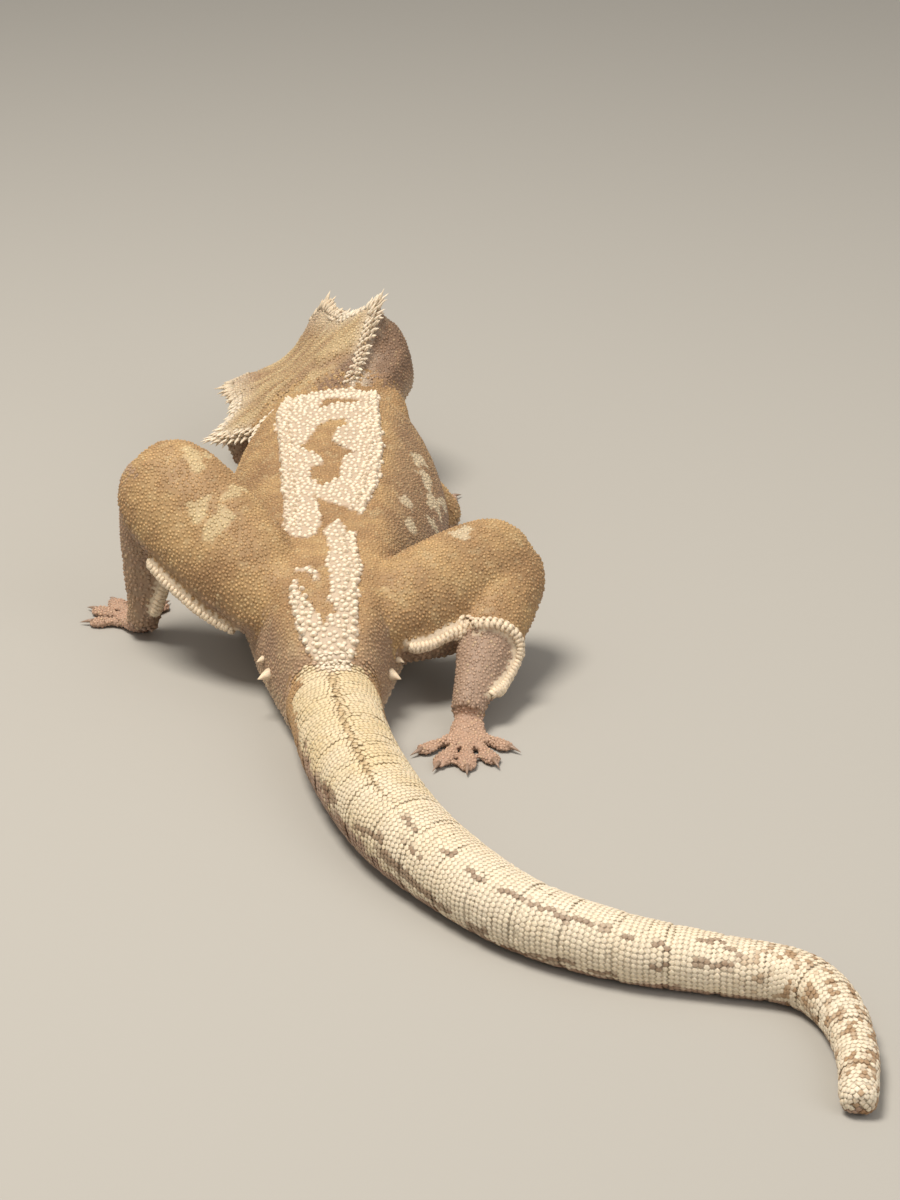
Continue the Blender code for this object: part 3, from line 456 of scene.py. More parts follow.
def neck():
    start, stop = NECK_FROM, head_frame() @ NECK_TO
    upright, tipped = Vector((0, 0, 1)), (head_frame().to_3x3() @ Vector((0, 0, 1)))
    ahead = (stop - start).normalized()
    places = steps(0.0, 1.0, FINE_STEP / (stop - start).length)
    rings = []
    for t in places:
        up = upright.lerp(tipped, t * 0.8).normalized()
        across = ahead.cross(up).normalized()
        centre = start.lerp(stop, t)
        half_up = NECK_HALF_HEIGHT
        rings.append(oval(centre, across, across.cross(ahead), NECK_HALF_WIDTH, half_up, FINE_RING, 0.85))
    return Form("neck", rings, places)


def tail_way(at):
    """The middle of the tail at one place, the way it runs and its way to the outside of the bend."""
    here = between(TAIL, at)
    step = 0.02
    ahead = between(TAIL, min(at + step, TAIL[-1].along))
    behind = between(TAIL, max(at - step, 0.0))
    way = Vector((ahead.x - behind.x, ahead.y - behind.y, 0.0)).normalized()
    return here, way, way.cross(Vector((0, 0, 1)))


TAIL_TABLE = [(at / 50, between(TAIL, at / 50)) for at in range(501)]
TAIL_STEPS = [math.hypot(b.x - a.x, b.y - a.y) for (_, a), (_, b) in zip(TAIL_TABLE, TAIL_TABLE[1:])]
TAIL_RUN = np.concatenate(([0.0], np.cumsum(TAIL_STEPS)))
TAIL_LONG = float(TAIL_RUN[-1])


def tail_at(run):
    """The place among the tail's points that lies a length along it."""
    return float(np.interp(run, TAIL_RUN, [at for at, _ in TAIL_TABLE]))


def tail_ring(at, count=FINE_RING, share=1.0, ahead=0.0):
    here, way, across = tail_way(at)
    tall = here.half * TAIL_TALL
    centre = Vector((here.x, here.y, tall - 0.25)) + way * ahead
    return oval(centre, across, Vector((0, 0, 1)), here.half * share, tall * share, count, 0.88)


def tail():
    places = steps(0.0, TAIL_LONG, FINE_STEP)
    rings = [tail_ring(tail_at(run)) for run in places]
    for ahead in (0.6, 1.1):
        share = math.sqrt(1.0 - (ahead / 1.35) ** 2)
        rings.append(tail_ring(TAIL[-1].along, share=share, ahead=ahead))
        places.append(TAIL_LONG + ahead)
    return Form("tail", rings, places)


def limb_axes(start, stop, up):
    """The way along a limb, the way across it and its own up."""
    ahead = (stop - start).normalized()
    across = ahead.cross(up).normalized()
    return ahead, across, across.cross(ahead)


def limb_length(name, start, stop, up, sections):
    """One length of a limb: ovals along a straight line, wide along up."""
    _, across, level = limb_axes(start, stop, up)
    places = steps(sections[0].share, sections[-1].share, FINE_STEP / (stop - start).length)
    rings = []
    for share in places:
        s = between(sections, share)
        rings.append(oval(start.lerp(stop, share), across, level, s.across, s.up, FINE_RING))
    return Form(name, rings, places)


def foot_parts(name, heel, toward, foot):
    """The palm and the five toes of one foot, flat on the floor, and the tip and way of each toe."""
    ahead = toward - heel
    ahead.z = 0.0
    ahead.normalize()
    floor_up = Vector((0, 0, 1))
    palm_at = Vector((heel.x, heel.y, 0.0)) + ahead * foot.palm

    def pad_form(start, way, length, pads):
        side = way.cross(floor_up)
        places = steps(pads[0].along, pads[-1].along, 0.3 / length)
        rings = []
        for along in places:
            pad = between(pads, along)
            at = start + way * (length * along) + floor_up * (pad.tall * SOLE_SHARE)
            rings.append(oval(at, side, floor_up, pad.half, pad.tall, 32))
        return Form(name, rings, places)

    forms = [pad_form(palm_at, ahead, 1.0, PALM)]
    tips = []
    for angle, length in zip(foot.spread, foot.lengths):
        way = Matrix.Rotation(math.radians(-angle), 3, "Z") @ ahead
        start = palm_at + way * TOE_ROOT
        forms.append(pad_form(start, way, length, TOE))
        tips.append((start + way * (length * 1.02), way))
    return forms, tips


def fringe_path(start, stop, up, sections, fringe):
    """Along the edge of a limb, with the way that its scales stand out."""
    _, across, level = limb_axes(start, stop, up)
    path = []
    for k in range(FRINGE_POINTS):
        here = between(fringe, fringe[-1].along * k / (FRINGE_POINTS - 1))
        girth = between(sections, here.share)
        angle = math.radians(here.angle)
        out = across * girth.across * math.cos(angle) + level * girth.up * math.sin(angle)
        path.append((start.lerp(stop, here.share) + out, out.normalized()))
    return path


FRINGE_THICK = 0.78
FRINGE_OUT = 0.35


def cord(name, path):
    """The swollen fold of skin that carries a fringe."""
    rings = []
    last = len(path) - 1
    for k, (point, out) in enumerate(path):
        ahead = (path[min(k + 1, last)][0] - path[max(k - 1, 0)][0]).normalized()
        side = ahead.cross(out).normalized()
        thick = FRINGE_THICK * min(1.0, 0.45 + 0.12 * min(k, last - k))
        rings.append(oval(point + out * FRINGE_OUT, side, side.cross(ahead), thick, thick, 16))
    return Form(name, rings, list(range(len(path))))


def lid(side):
    """The raised rim round one eye, as rings of a closed roll, which ends meet in."""
    centre, faces = lid_seat(side)
    across = faces.cross(Vector((0, 0, 1))).normalized()
    up = across.cross(faces)
    rings = []
    for k in range(37):
        angle = 2 * math.pi * k / 36
        out = across * math.cos(angle) + up * math.sin(angle)
        rings.append(oval(centre + out * LID_RING, out, faces, LID_THICK, LID_THICK, 10))
    return Form("lid", [[head_frame() @ p for p in ring] for ring in rings], list(range(37)))


def lid_seat(side):
    """The middle of the rim round one eye and the way the eye faces, in the frame of the head."""
    faces = Vector((EYE_FACES.x * side, EYE_FACES.y, EYE_FACES.z)).normalized()
    at = Vector((EYE_AT.x * side, EYE_AT.y, EYE_AT.z))
    return at + faces * math.sqrt((EYE_RADIUS + LID_CLEAR) ** 2 - LID_RING**2), faces


def limbs():
    """All forms of the four limbs, the paths of their fringes and the tips of their toes."""
    forms, fringes, toes = [], [], []
    for side in ("right", "left"):
        for kind, limb, first, second, foot in (
            ("hind", HIND[side], THIGH, SHANK, HIND_FOOT),
            ("fore", FORE[side], UPPER_ARM, FOREARM, FORE_FOOT),
        ):
            way = (limb.bend - limb.root).normalized()
            forms.append(limb_length(f"{side} {kind} first", limb.root, limb.bend, limb.up, first))
            forms.append(limb_length(f"{side} {kind} second", limb.bend, limb.end, way, second))
            parts, tips = foot_parts(f"{side} {kind} foot", limb.end, limb.toes, foot)
            forms += parts
            toes += tips
            if kind == "hind":
                upper = fringe_path(limb.root, limb.bend, limb.up, first, THIGH_FRINGE[side])
                lower = fringe_path(limb.bend, limb.end, way, second, SHANK_FRINGE[side])
                paths = [upper + lower] if side == "right" else [upper, lower]
                forms += [cord(f"{side} fringe", path) for path in paths]
                fringes += paths
    return forms, fringes, toes


LIMB_FORMS, FRINGE_PATHS, TOE_TIPS = limbs()
FORMS = [trunk(), skull(), neck(), tail(), lid(1), lid(-1)] + LIMB_FORMS

# One skin over all forms

VOXEL = 0.4
# Places where one form runs into another: centre and how far the skin is smoothed round it
Joint = namedtuple("Joint", "at reach rounds")


def joints():
    found = [
        Joint(Vector((0.6, 4.0, 6.0)), 5.0, 12),
        Joint(Vector((-2.0, 64.0, 10.0)), 7.0, 26),
    ]
    for limbs_of, wide in ((HIND, 6.5), (FORE, 4.5)):
        for limb in limbs_of.values():
            out = (limb.bend - limb.root).normalized()
            found.append(Joint(limb.root + out * 4.0, wide, 30))
            found.append(Joint(limb.bend, wide * 0.8, 16))
            found.append(Joint(limb.end, 2.6, 8))
    return found


def skin_mesh():
    """One closed mesh over all forms, each a little inside the solids."""
    whole = bmesh.new()
    for form in FORMS:
        part = loft(form.rings)
        part.normal_update()
        moves = [vert.normal * -SKIN_DEPTH for vert in part.verts]
        for vert, move in zip(part.verts, moves):
            vert.co += move
        holder = bpy.data.meshes.new("part")
        part.to_mesh(holder)
        part.free()
        whole.from_mesh(holder)
        bpy.data.meshes.remove(holder)
    mesh = bpy.data.meshes.new("skin")
    whole.to_mesh(mesh)
    whole.free()
    thing = bpy.data.objects.new("skin", mesh)
    bpy.context.scene.collection.objects.link(thing)
    remesh = thing.modifiers.new("one skin", "REMESH")
    remesh.mode = "VOXEL"
    remesh.voxel_size = VOXEL
    graph = bpy.context.evaluated_depsgraph_get()
    thing.data = bpy.data.meshes.new_from_object(thing.evaluated_get(graph))
    thing.modifiers.clear()
    return thing


def corners_of(mesh):
    places = np.zeros(len(mesh.vertices) * 3)
    mesh.vertices.foreach_get("co", places)
    return places.reshape(-1, 3)


def normals_of(mesh):
    ways = np.zeros(len(mesh.vertices) * 3)
    mesh.vertices.foreach_get("normal", ways)
    return ways.reshape(-1, 3)


def put_corners(mesh, places):
    mesh.vertices.foreach_set("co", places.ravel())
    mesh.update()


def relax(places, edges, weight, rounds):
    """Draw each corner towards the middle of its neighbours, by its weight, round after round."""
    count = np.bincount(edges.ravel(), minlength=len(places))[:, None]
    for _ in range(rounds):
        near = np.zeros_like(places)
        for axis in range(3):
            near[:, axis] = np.bincount(edges[:, 0], places[edges[:, 1], axis], len(places))
            near[:, axis] += np.bincount(edges[:, 1], places[edges[:, 0], axis], len(places))
        places = places + (near / count - places) * weight[:, None]
    return places


def soften(mesh):
    """Smooth the whole skin a little, and more where one form runs into another."""
    places = corners_of(mesh)
    edges = np.zeros(len(mesh.edges) * 2, int)
    mesh.edges.foreach_get("vertices", edges)
    edges = edges.reshape(-1, 2)
    places = relax(places, edges, np.full(len(places), 0.5), 3)
    normals = normals_of(mesh)
    for joint in joints():
        far = np.linalg.norm(places - np.array(joint.at[:]), axis=1)
        weight = 0.6 * np.clip(1.6 - 1.6 * far / joint.reach, 0.0, 1.0)
        drawn = relax(places, edges, weight, joint.rounds)
        # Only hollows are filled, so that knees and elbows keep their size
        lift = np.maximum(np.sum((drawn - places) * normals, axis=1), 0.0)
        places = places + normals * lift[:, None]
        places = relax(places, edges, weight, 2)
    places[:, 2] = np.maximum(places[:, 2], FLOOR_GAP)
    put_corners(mesh, places)


# Where each point of the skin lies on the animal

HEAD_TURN = np.array(head_frame().to_3x3())
Where = namedtuple("Where", "form place angle ahead")


def in_head(places):
    """Places in the frame of the head."""
    return (places - np.array(HEAD_AT[:])) @ HEAD_TURN


def samples():
    """Points of all forms, with the form, the place along it and the turn round it of each."""
    points, facts, aheads = [], [], []
    for number, form in enumerate(FORMS):
        last = len(form.rings) - 1
        for k, ring in enumerate(form.rings):
            before, after = form.rings[max(k - 1, 0)], form.rings[min(k + 1, last)]
            for j, point in enumerate(ring):
                points.append(point)
                facts.append((number, form.places[k], j / len(ring)))
                aheads.append((after[j] - before[j]).normalized()[:])
    tree = KDTree(len(points))
    for k, point in enumerate(points):
        tree.insert(point, k)
    tree.balance()
    return tree, np.array(facts), np.array(aheads)


SAMPLE_TREE, SAMPLE_FACTS, SAMPLE_AHEADS = samples()


def where(places):
    """The nearest form of each place, with how far along and round it that is, and its way ahead."""
    nearest = np.array([SAMPLE_TREE.find(p)[1] for p in places])
    facts = SAMPLE_FACTS[nearest]
    return Where(facts[:, 0].astype(int), facts[:, 1], facts[:, 2], SAMPLE_AHEADS[nearest])


def named(spot, word):
    """Which places lie on a form whose name holds a word."""
    flags = np.array([word in form.name for form in FORMS])
    return flags[spot.form]


def clouds(places, size, seed, octaves=3, stretch=(1.0, 1.0, 1.0)):
    """Soft noise from about -1 to 1, of one grain size, at many places."""
    scaled = places / (np.array(stretch) * size) + seed * 17.3
    return np.array([noise.fractal(p, 0.9, 2.0, octaves) for p in scaled])


def smooth(low, high, values):
    """From 0 below a low value to 1 above a high one, with soft ends."""
    t = np.clip((values - low) / (high - low), 0.0, 1.0)
    return t * t * (3 - 2 * t)


def inside(outline, x, y):
    """How deep points lie inside an outline seen from above, less than 0 outside it."""
    corners = np.array(outline)
    nearest = np.full(len(x), 1e9)
    within = np.zeros(len(x), bool)
    for (ax, ay), (bx, by) in zip(corners, np.roll(corners, -1, 0)):
        wide, tall = bx - ax, by - ay
        along = np.clip(((x - ax) * wide + (y - ay) * tall) / (wide**2 + tall**2), 0, 1)
        nearest = np.minimum(nearest, np.hypot(x - ax - along * wide, y - ay - along * tall))
        if tall:
            crosses = ((ay > y) != (by > y)) & (x < wide * (y - ay) / tall + ax)
            within ^= crosses
    return np.where(within, nearest, -nearest)


# How far the pale scales stay clear of the brown hollow inside their patch
HOLLOW_WIDER = 0.2


def back_cream(places, normals, spot):
    """How far each place belongs to the cream patches of the back, from 0 to 1."""
    x, y = places[:, 0], places[:, 1]
    ragged = clouds(places, 1.1, 3) * 0.3
    depth = inside(FRONT_PATCH, x, y)
    for patch in (REAR_PATCH, LEFT_ISLET):
        depth = np.maximum(depth, inside(patch, x, y))
    for hollow in [FRONT_HOLLOW] + NAPE_STREAKS:
        depth = np.minimum(depth, -inside(hollow, x, y) - HOLLOW_WIDER)
    top = (normals[:, 2] > 0.2) & (named(spot, "trunk") | named(spot, "neck") | named(spot, "tail"))
    return smooth(0.0, 0.24, depth + ragged) * (top & (y > 1.5))


def tail_dashes(spot):
    """How far each place of the tail lies on a brown dash, from 0 to 1."""
    run = spot.place
    angle = (90.0 - spot.angle * 360.0 + 180.0) % 360.0 - 180.0
    half = np.interp(run, TAIL_RUN, [here.half for _, here in TAIL_TABLE])
    found = np.zeros(len(run))
    for dash in TAIL_DASHES:
        share = np.clip((run - dash.start) / (dash.stop - dash.start), 0.0, 1.0)
        off_run = run - (dash.start + (dash.stop - dash.start) * share)
        off_side = np.radians(angle - dash.angle_start - (dash.angle_stop - dash.angle_start) * share) * half
        found = np.maximum(found, smooth(1.3, 0.7, np.hypot(off_run, off_side) / dash.wide))
    return found, angle


def mix(colours, name, share):
    """Colours moved towards one of the palette, by a share for each."""
    return colours + (linear(name) - colours) * np.clip(share, 0.0, 1.0)[:, None]


def tints(places, normals, spot):
    """The colour of the skin at each place."""
    broad = clouds(places, 5.0, 1)
    middle = clouds(places, 1.6, 2)
    fine = clouds(places, 0.55, 4)
    colours = np.tile(linear("tan"), (len(places), 1))
    colours = mix(colours, "sand", smooth(-0.2, 0.6, broad + middle * 0.4) * 0.75)
    colours = mix(colours, "brown", smooth(0.05, 0.7, -broad + middle * 0.5) * 0.55)
    colours = mix(colours, "umber", smooth(0.35, 0.9, fine - broad * 0.2) * 0.3)
    colours = mix(colours, "butter", smooth(0.3, 0.8, middle + fine * 0.5) * 0.35)
    on_trunk = named(spot, "trunk")
    # Painted shade: the right flank is darkened towards the cheek colour, as if turned from the light
    right_flank_painted_shade = smooth(5.0, 8.0, places[:, 0]) * on_trunk
    colours = mix(colours, "cheek", right_flank_painted_shade * 0.55)
    low = smooth(7.0, 2.5, places[:, 2]) * on_trunk
    colours = mix(colours, "mauve", smooth(13.0, 8.0, places[:, 2]) * on_trunk * 0.5)
    colours = mix(colours, "belly", low * smooth(0.2, -0.5, normals[:, 2]))
    under_limb = smooth(0.0, -0.6, normals[:, 2]) * (named(spot, "hind") | named(spot, "fore"))
    colours = mix(colours, "mauve", under_limb * 0.7)
    turn = (spot.angle * 360.0 + 180.0) % 360.0 - 180.0
    calf = smooth(0.55, 0.6, spot.place) * smooth(86.0, 78.0, turn)
    colours = mix(colours, "calf", named(spot, "right hind second") * calf * 0.9)
    colours = mix(colours, "mauve", named(spot, "left hind second") * 0.55)
    colours = mix(colours, "sole", named(spot, "foot") * 0.8)
    for b in BLOTCHES:
        far = np.linalg.norm(places - np.array(b[:3]), axis=1)
        shape = smooth(0.1, 0.35, 1.05 - far / b.radius + middle * 0.75)
        colours = mix(colours, "butter" if b.x < 5.0 else "tail cream", shape * 0.8)
    colours = mix(colours, "fringe", named(spot, "fringe") * 1.0)
    colours = head_tints(colours, places, normals, spot, middle)
    colours = tail_tints(colours, places, spot, broad, middle, fine)
    cream = back_cream(places, normals, spot)
    edge = smooth(0.02, 0.4, cream) * smooth(0.98, 0.6, cream)
    colours = mix(colours, "rust", edge * 0.4)
    return mix(colours, "cream", cream * (0.92 + 0.08 * middle)), cream


def ear_share(local):
    """How far each place of the head lies in the slit of an ear, from 0 to 1."""
    mark = skull_side(EAR_Y, EAR_Z)
    off_side = np.abs(np.abs(local[:, 0]) - mark.x)
    slit = np.exp(-(((local[:, 1] - mark.y) / 0.55) ** 2 + ((local[:, 2] - mark.z) / 1.25) ** 2))
    return slit * (off_side < 2.5)


def head_tints(colours, places, normals, spot, middle):
    """The colours of the head over those of the body."""
    on_head = named(spot, "head") | named(spot, "lid")
    local = in_head(places)
    facing = normals @ HEAD_TURN
    side, ahead, up = np.abs(local[:, 0]), local[:, 1], local[:, 2]
    edge = np.array([s.crest for s in SKULL])
    rim = np.interp(ahead, [s.y for s in SKULL], edge) - side
    crown = on_head * smooth(-0.1, 0.45, facing[:, 2]) * smooth(-3.4, -2.4, up + ahead * 0.09)
    streaks = clouds(local, 1.3, 6, 3, (3.6, 1.0, 2.0))
    head = np.tile(linear("cheek"), (len(places), 1))
    head = mix(head, "brow", smooth(-0.2, 0.5, middle) * 0.6)
    head = mix(head, "umber", smooth(0.3, 0.8, -middle) * 0.3)
    head = mix(head, "belly", smooth(-9.0, -12.0, up) * 0.8)
    # Painted shade: the ear slits are coloured near black for the dark of their hollows
    head = mix(head, "ear", smooth(0.2, 0.6, ear_share(local)))
    crowned = np.tile(linear("crown"), (len(places), 1))
    crowned = mix(crowned, "brow", smooth(0.0, 0.45, streaks) * 0.55)
    crowned = mix(crowned, "butter", smooth(0.0, 0.5, -streaks) * 0.5)
    crowned = mix(crowned, "brow", smooth(9.0, 15.0, ahead) * smooth(2.0, 4.5, side) * 0.6)
    crowned = mix(crowned, "cream", smooth(5.0, 0.4, rim) * smooth(19.0, 15.0, ahead) * 0.55)
    head = head + (crowned - head) * crown[:, None]
    crest = on_head * smooth(0.9, 0.2, rim) * smooth(-2.6, -0.8, up - np.interp(
        ahead, [s.y for s in SKULL], [s.crest_z for s in SKULL])) * smooth(21.0, 17.0, ahead)
    head = mix(head, "cream", crest * 0.75)
    return colours + (head - colours) * on_head[:, None]


def off_tail_groove(run, angle):
    """How far places of the tail lie beside the groove along its top."""
    return np.radians(angle - np.interp(run, GROOVE_RUN, GROOVE_ANGLE)) * TAIL_HALF_AT_GROOVE


def tail_tints(colours, places, spot, broad, middle, fine):
    """The colours of the tail over those of the body."""
    on_tail = named(spot, "tail")
    dashes, angle = tail_dashes(spot)
    run = spot.place
    cream = np.tile(linear("tail cream"), (len(places), 1))
    cream = mix(cream, "butter", smooth(-0.1, 0.6, broad + fine * 0.4) * 0.6)
    cream = mix(cream, "cream", smooth(0.0, 0.6, -broad) * 0.4)
    cream = mix(cream, "butter", smooth(30.0, 6.0, run) * 0.4)
    cream = mix(cream, "cream", smooth(20.0, 42.0, run) * 0.7)
    # The bare side near the root, on the outside of the bend
    edge = np.interp(run, [0, 2, 3.6, 10.5, 15.7, 22, 30, 40], [40, 46, 67, 76, 78, 88, 100, 125])
    side = smooth(-6.0, 6.0, np.abs(angle) - edge + middle * 22.0)
    flesh = np.tile(linear("tan"), (len(places), 1))
    flesh = mix(flesh, "mauve", smooth(6.0, 16.0, run) * 0.8)
    flesh = mix(flesh, "umber", smooth(0.1, 0.7, middle) * 0.4)
    cream = cream + (flesh - cream) * side[:, None]
    mottled = smooth(MOTTLED_FROM, MOTTLED_FROM + 6.0, run)
    cream = mix(cream, "brown", mottled * smooth(0.05, 0.4, clouds(places, 0.9, 8)) * 0.85)
    cream = mix(cream, "umber", dashes * 0.75)
    # Painted shade: the tail is darkened along its sunken groove near the root
    groove = smooth(0.5, 0.1, np.abs(off_tail_groove(run, angle)))
    cream = mix(cream, "groove", groove * smooth(GROOVE_TO, GROOVE_TO - 4, run) * smooth(1.0, 4.0, run) * 0.7)
    return colours + (cream - colours) * on_tail[:, None]


# Folds and openings worked into the skin

# Tail creases: the distance between two of them and their depth
CREASE_STEP = 2.25
CREASE_DEEP = 0.16
# The bend of the tail's groove: places along the tail, and the groove's angle from the top at each
GROOVE_RUN = (3.6, 12.6, 28)
GROOVE_ANGLE = (3, 5, 18)
GROOVE_DEEP = 0.32
TAIL_HALF_AT_GROOVE = 4.5
# Face: how full the lips are, and the depth of the mouth line, an ear slit, a nostril and a fold
LIP_FULL = 0.16
MOUTH_DEEP = 0.4
EAR_DEEP = 1.1
NOSTRIL_DEEP = 0.5
FOLD_DEEP = 0.16
# How far round the middle of an ear and of a nostril the skin is made finer
EAR_REACH, NOSTRIL_REACH = 2.6, 1.4
# How much the cream patches stand up, and the height of the soft lumps of the skin
PATCH_HIGH = 0.14
LUMPS_HIGH = 0.1


def near_details(local, ahead_limit):
    """Which places of the head lie near its mouth, ears or nostrils."""
    mouth = np.interp(local[:, 1], [m.y for m in MOUTH], [m.z for m in MOUTH])
    on_mouth = (np.abs(local[:, 2] - mouth) < 1.3) & (local[:, 1] > ahead_limit)
    mirrored = np.stack((np.abs(local[:, 0]), local[:, 1], local[:, 2]), 1)
    marks = [skull_side(EAR_Y, EAR_Z), skull_side(NOSTRIL_Y, NOSTRIL_Z)]
    for mark, reach in zip(marks, (EAR_REACH, NOSTRIL_REACH)):
        on_mouth |= np.linalg.norm(mirrored - np.array(mark[:]), axis=1) < reach
    return on_mouth


def refine_face(mesh):
    """More corners where the mouth, ears and nostrils are worked in."""
    form = bmesh.new()
    form.from_mesh(mesh)
    near = near_details(in_head(corners_of(mesh)), 5.0)
    edges = [edge for edge in form.edges if near[edge.verts[0].index] and near[edge.verts[1].index]]
    bmesh.ops.subdivide_edges(form, edges=edges, cuts=1, use_grid_fill=True)
    form.to_mesh(mesh)
    form.free()
    mesh.update()


def work_in(mesh):
    """Mouth line, lips, ears, nostrils, folds of the crown, creases of the tail and raised patches."""
    places, normals = corners_of(mesh), normals_of(mesh)
    spot = where(places)
    local = in_head(places)
    mirrored = np.stack((np.abs(local[:, 0]), local[:, 1], local[:, 2]), 1)
    on_head = (named(spot, "head") | named(spot, "lid")).astype(float)
    off_mouth = local[:, 2] - np.interp(local[:, 1], [m.y for m in MOUTH], [m.z for m in MOUTH])
    along = smooth(6.0, 8.0, local[:, 1]) * on_head
    lips = LIP_FULL * np.exp(-(((np.abs(off_mouth) - 0.6) / 0.35) ** 2))
    lift = along * (lips - MOUTH_DEEP * np.exp(-((off_mouth / 0.22) ** 2)))
    ear = mirrored - np.array(skull_side(EAR_Y, EAR_Z)[:])
    rim = np.exp(-((np.hypot(ear[:, 1] / 1.1, ear[:, 2] / 1.9) - 1.0) / 0.3) ** 2)
    lift += on_head * ((np.abs(ear[:, 0]) < 2.5) * 0.12 * rim - EAR_DEEP * ear_share(local))
    nostril = np.linalg.norm(mirrored - np.array(skull_side(NOSTRIL_Y, NOSTRIL_Z)[:]), axis=1)
    nostril_rim = 0.14 * np.exp(-(((nostril - 0.6) / 0.3) ** 2))
    lift += on_head * (nostril_rim - NOSTRIL_DEEP * np.exp(-((nostril / 0.3) ** 2)))
    facing = normals @ HEAD_TURN
    folds = clouds(local, 1.3, 6, 3, (3.6, 1.0, 2.0))
    lift -= on_head * smooth(0.1, 0.6, facing[:, 2]) * FOLD_DEEP * smooth(-0.1, 0.5, folds)
    on_tail = named(spot, "tail").astype(float)
    wave = spot.place + clouds(places, 3.0, 9) * 0.5
    crease = np.exp(-(((wave / CREASE_STEP) % 1.0 - 0.5) / 0.09) ** 2)
    lift -= on_tail * crease * CREASE_DEEP * smooth(2.0, 5.0, spot.place)
    _, angle = tail_dashes(spot)
    off_groove = off_tail_groove(spot.place, angle)
    deep = smooth(0.5, 4.0, spot.place) * smooth(GROOVE_TO + 6, GROOVE_TO - 4, spot.place)
    lift -= on_tail * deep * GROOVE_DEEP * np.exp(-((off_groove / 0.55) ** 2))
    lift += PATCH_HIGH * back_cream(places, normals, spot)
    lift += LUMPS_HIGH * clouds(places, 2.4, 11) * (1.0 - on_tail)
    places = places + normals * lift[:, None]
    places[:, 2] = np.maximum(places[:, 2], FLOOR_GAP)
    put_corners(mesh, places)


# Scales

# The most triangles of one piece, and how much of the map one scale covers
MOST_TRIANGLES = 190000
SCALE_ON_MAP = 0.003
# Painted shade at a scale's foot and painted light at its tip, as shares of its colour
FOOT_PAINTED_SHADE, TIP_PAINTED_LIGHT = 0.62, 1.08
# Places, the ways up and ahead, the three sizes, the colour and the place on the map of many scales
Scales = namedtuple("Scales", "at up ahead wide long tall tint unwrap")


def unit_scale(rings, sides):
    """A closed scale one across and one high: radius, height and lean back of each of its rings."""
    form = loft([
        [Vector((r * math.cos(2 * math.pi * k / sides), r * math.sin(2 * math.pi * k / sides) - lean, z))
         for k in range(sides)]
        for r, z, lean in rings
    ])
    bmesh.ops.triangulate(form, faces=form.faces)
    form.verts.index_update()
    corners = np.array([vert.co[:] for vert in form.verts])
    faces = np.array([[vert.index for vert in face.verts] for face in form.faces])
    form.free()
    return corners, faces


def unit_grain(sides):
    """The smallest scale: a low cone."""
    form = bmesh.new()
    bmesh.ops.create_cone(form, cap_ends=True, segments=sides, radius1=0.5, radius2=0.0, depth=1.0)
    bmesh.ops.translate(form, verts=form.verts, vec=Vector((0, 0, 0.15)))
    bmesh.ops.triangulate(form, faces=form.faces)
    form.verts.index_update()
    corners = np.array([vert.co[:] for vert in form.verts])
    faces = np.array([[vert.index for vert in face.verts] for face in form.faces])
    form.free()
    return corners, faces


GRAIN = unit_grain(5)
KNOB = unit_scale([(0.5, -0.4, 0.0), (0.46, 0.2, 0.0), (0.2, 0.6, 0.04)], 6)
PLATE = unit_scale([(0.62, -0.4, 0.0), (0.6, 0.25, 0.0), (0.4, 0.5, 0.0)], 4)
THORN = unit_scale([(0.5, -0.3, 0.0), (0.4, 0.2, 0.02), (0.22, 0.6, 0.1), (0.04, 1.0, 0.26)], 6)


def build(name, corners, faces, tint, material, unwrap):
    """A piece of the scene from arrays in plan sizes, with its colours and its own map."""
    mesh = bpy.data.meshes.new(name)
    mesh.from_pydata(corners, [], faces)
    mesh.transform(PLAN_TO_ROW)
    colours = mesh.color_attributes.new("tint", "FLOAT_COLOR", "POINT")
    colours.data.foreach_set("color", np.column_stack((tint, np.ones(len(tint)))).ravel())
    flat = mesh.uv_layers.new(name="OFBake")
    flat.data.foreach_set("uv", unwrap[faces.ravel()].ravel())
    mesh.shade_smooth()
    mesh.materials.append(material)
    thing = bpy.data.objects.new(name, mesh)
    bpy.context.scene.collection.objects.link(thing)
    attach(thing, "root")


def scale_arrays(shape, scales):
    """Corners, faces, colours and map places of one shape set at each of many places."""
    unit, faces = shape
    up = scales.up
    ahead = scales.ahead - up * np.sum(scales.ahead * up, axis=1)[:, None]
    ahead /= np.maximum(np.linalg.norm(ahead, axis=1), 1e-6)[:, None]
    across = np.cross(ahead, up)
    offset = across[:, None, :] * (unit[None, :, 0:1] * scales.wide[:, None, None])
    offset = offset + ahead[:, None, :] * (unit[None, :, 1:2] * scales.long[:, None, None])
    offset = offset + up[:, None, :] * (unit[None, :, 2:3] * scales.tall[:, None, None])
    corners = scales.at[:, None, :] + offset
    # Painted shade towards the foot of each scale and painted light towards its tip
    tone = FOOT_PAINTED_SHADE + (TIP_PAINTED_LIGHT - FOOT_PAINTED_SHADE) * np.clip((unit[:, 2] + 0.35) / 0.9, 0.0, 1.0)
    tint = np.clip(scales.tint[:, None, :] * tone[None, :, None], 0.0, 1.0)
    patch = scales.unwrap[:, None, :] + unit[None, :, :2] * SCALE_ON_MAP
    number = np.arange(len(scales.at))[:, None, None] * len(unit)
    corners = corners.reshape(-1, 3)
    corners[:, 2] = np.maximum(corners[:, 2], 0.0)
    return corners, (faces[None] + number).reshape(-1, 3), tint.reshape(-1, 3), patch.reshape(-1, 2)


def coat(name, shape, scales, material):
    """Scales as one piece or more, each small enough for the export."""
    most = MOST_TRIANGLES // len(shape[1])
    parts = max(math.ceil(len(scales.at) / most), 1)
    order = np.argsort(scales.unwrap[:, 0], kind="stable")
    for number, chosen in enumerate(np.array_split(order, parts)):
        some = Scales(*[field[chosen] for field in scales])
        corners, faces, tint, patch = scale_arrays(shape, some)
        label = name if parts == 1 else f"{name}_{number + 1}"
        build(label, corners, faces, tint, material, patch)


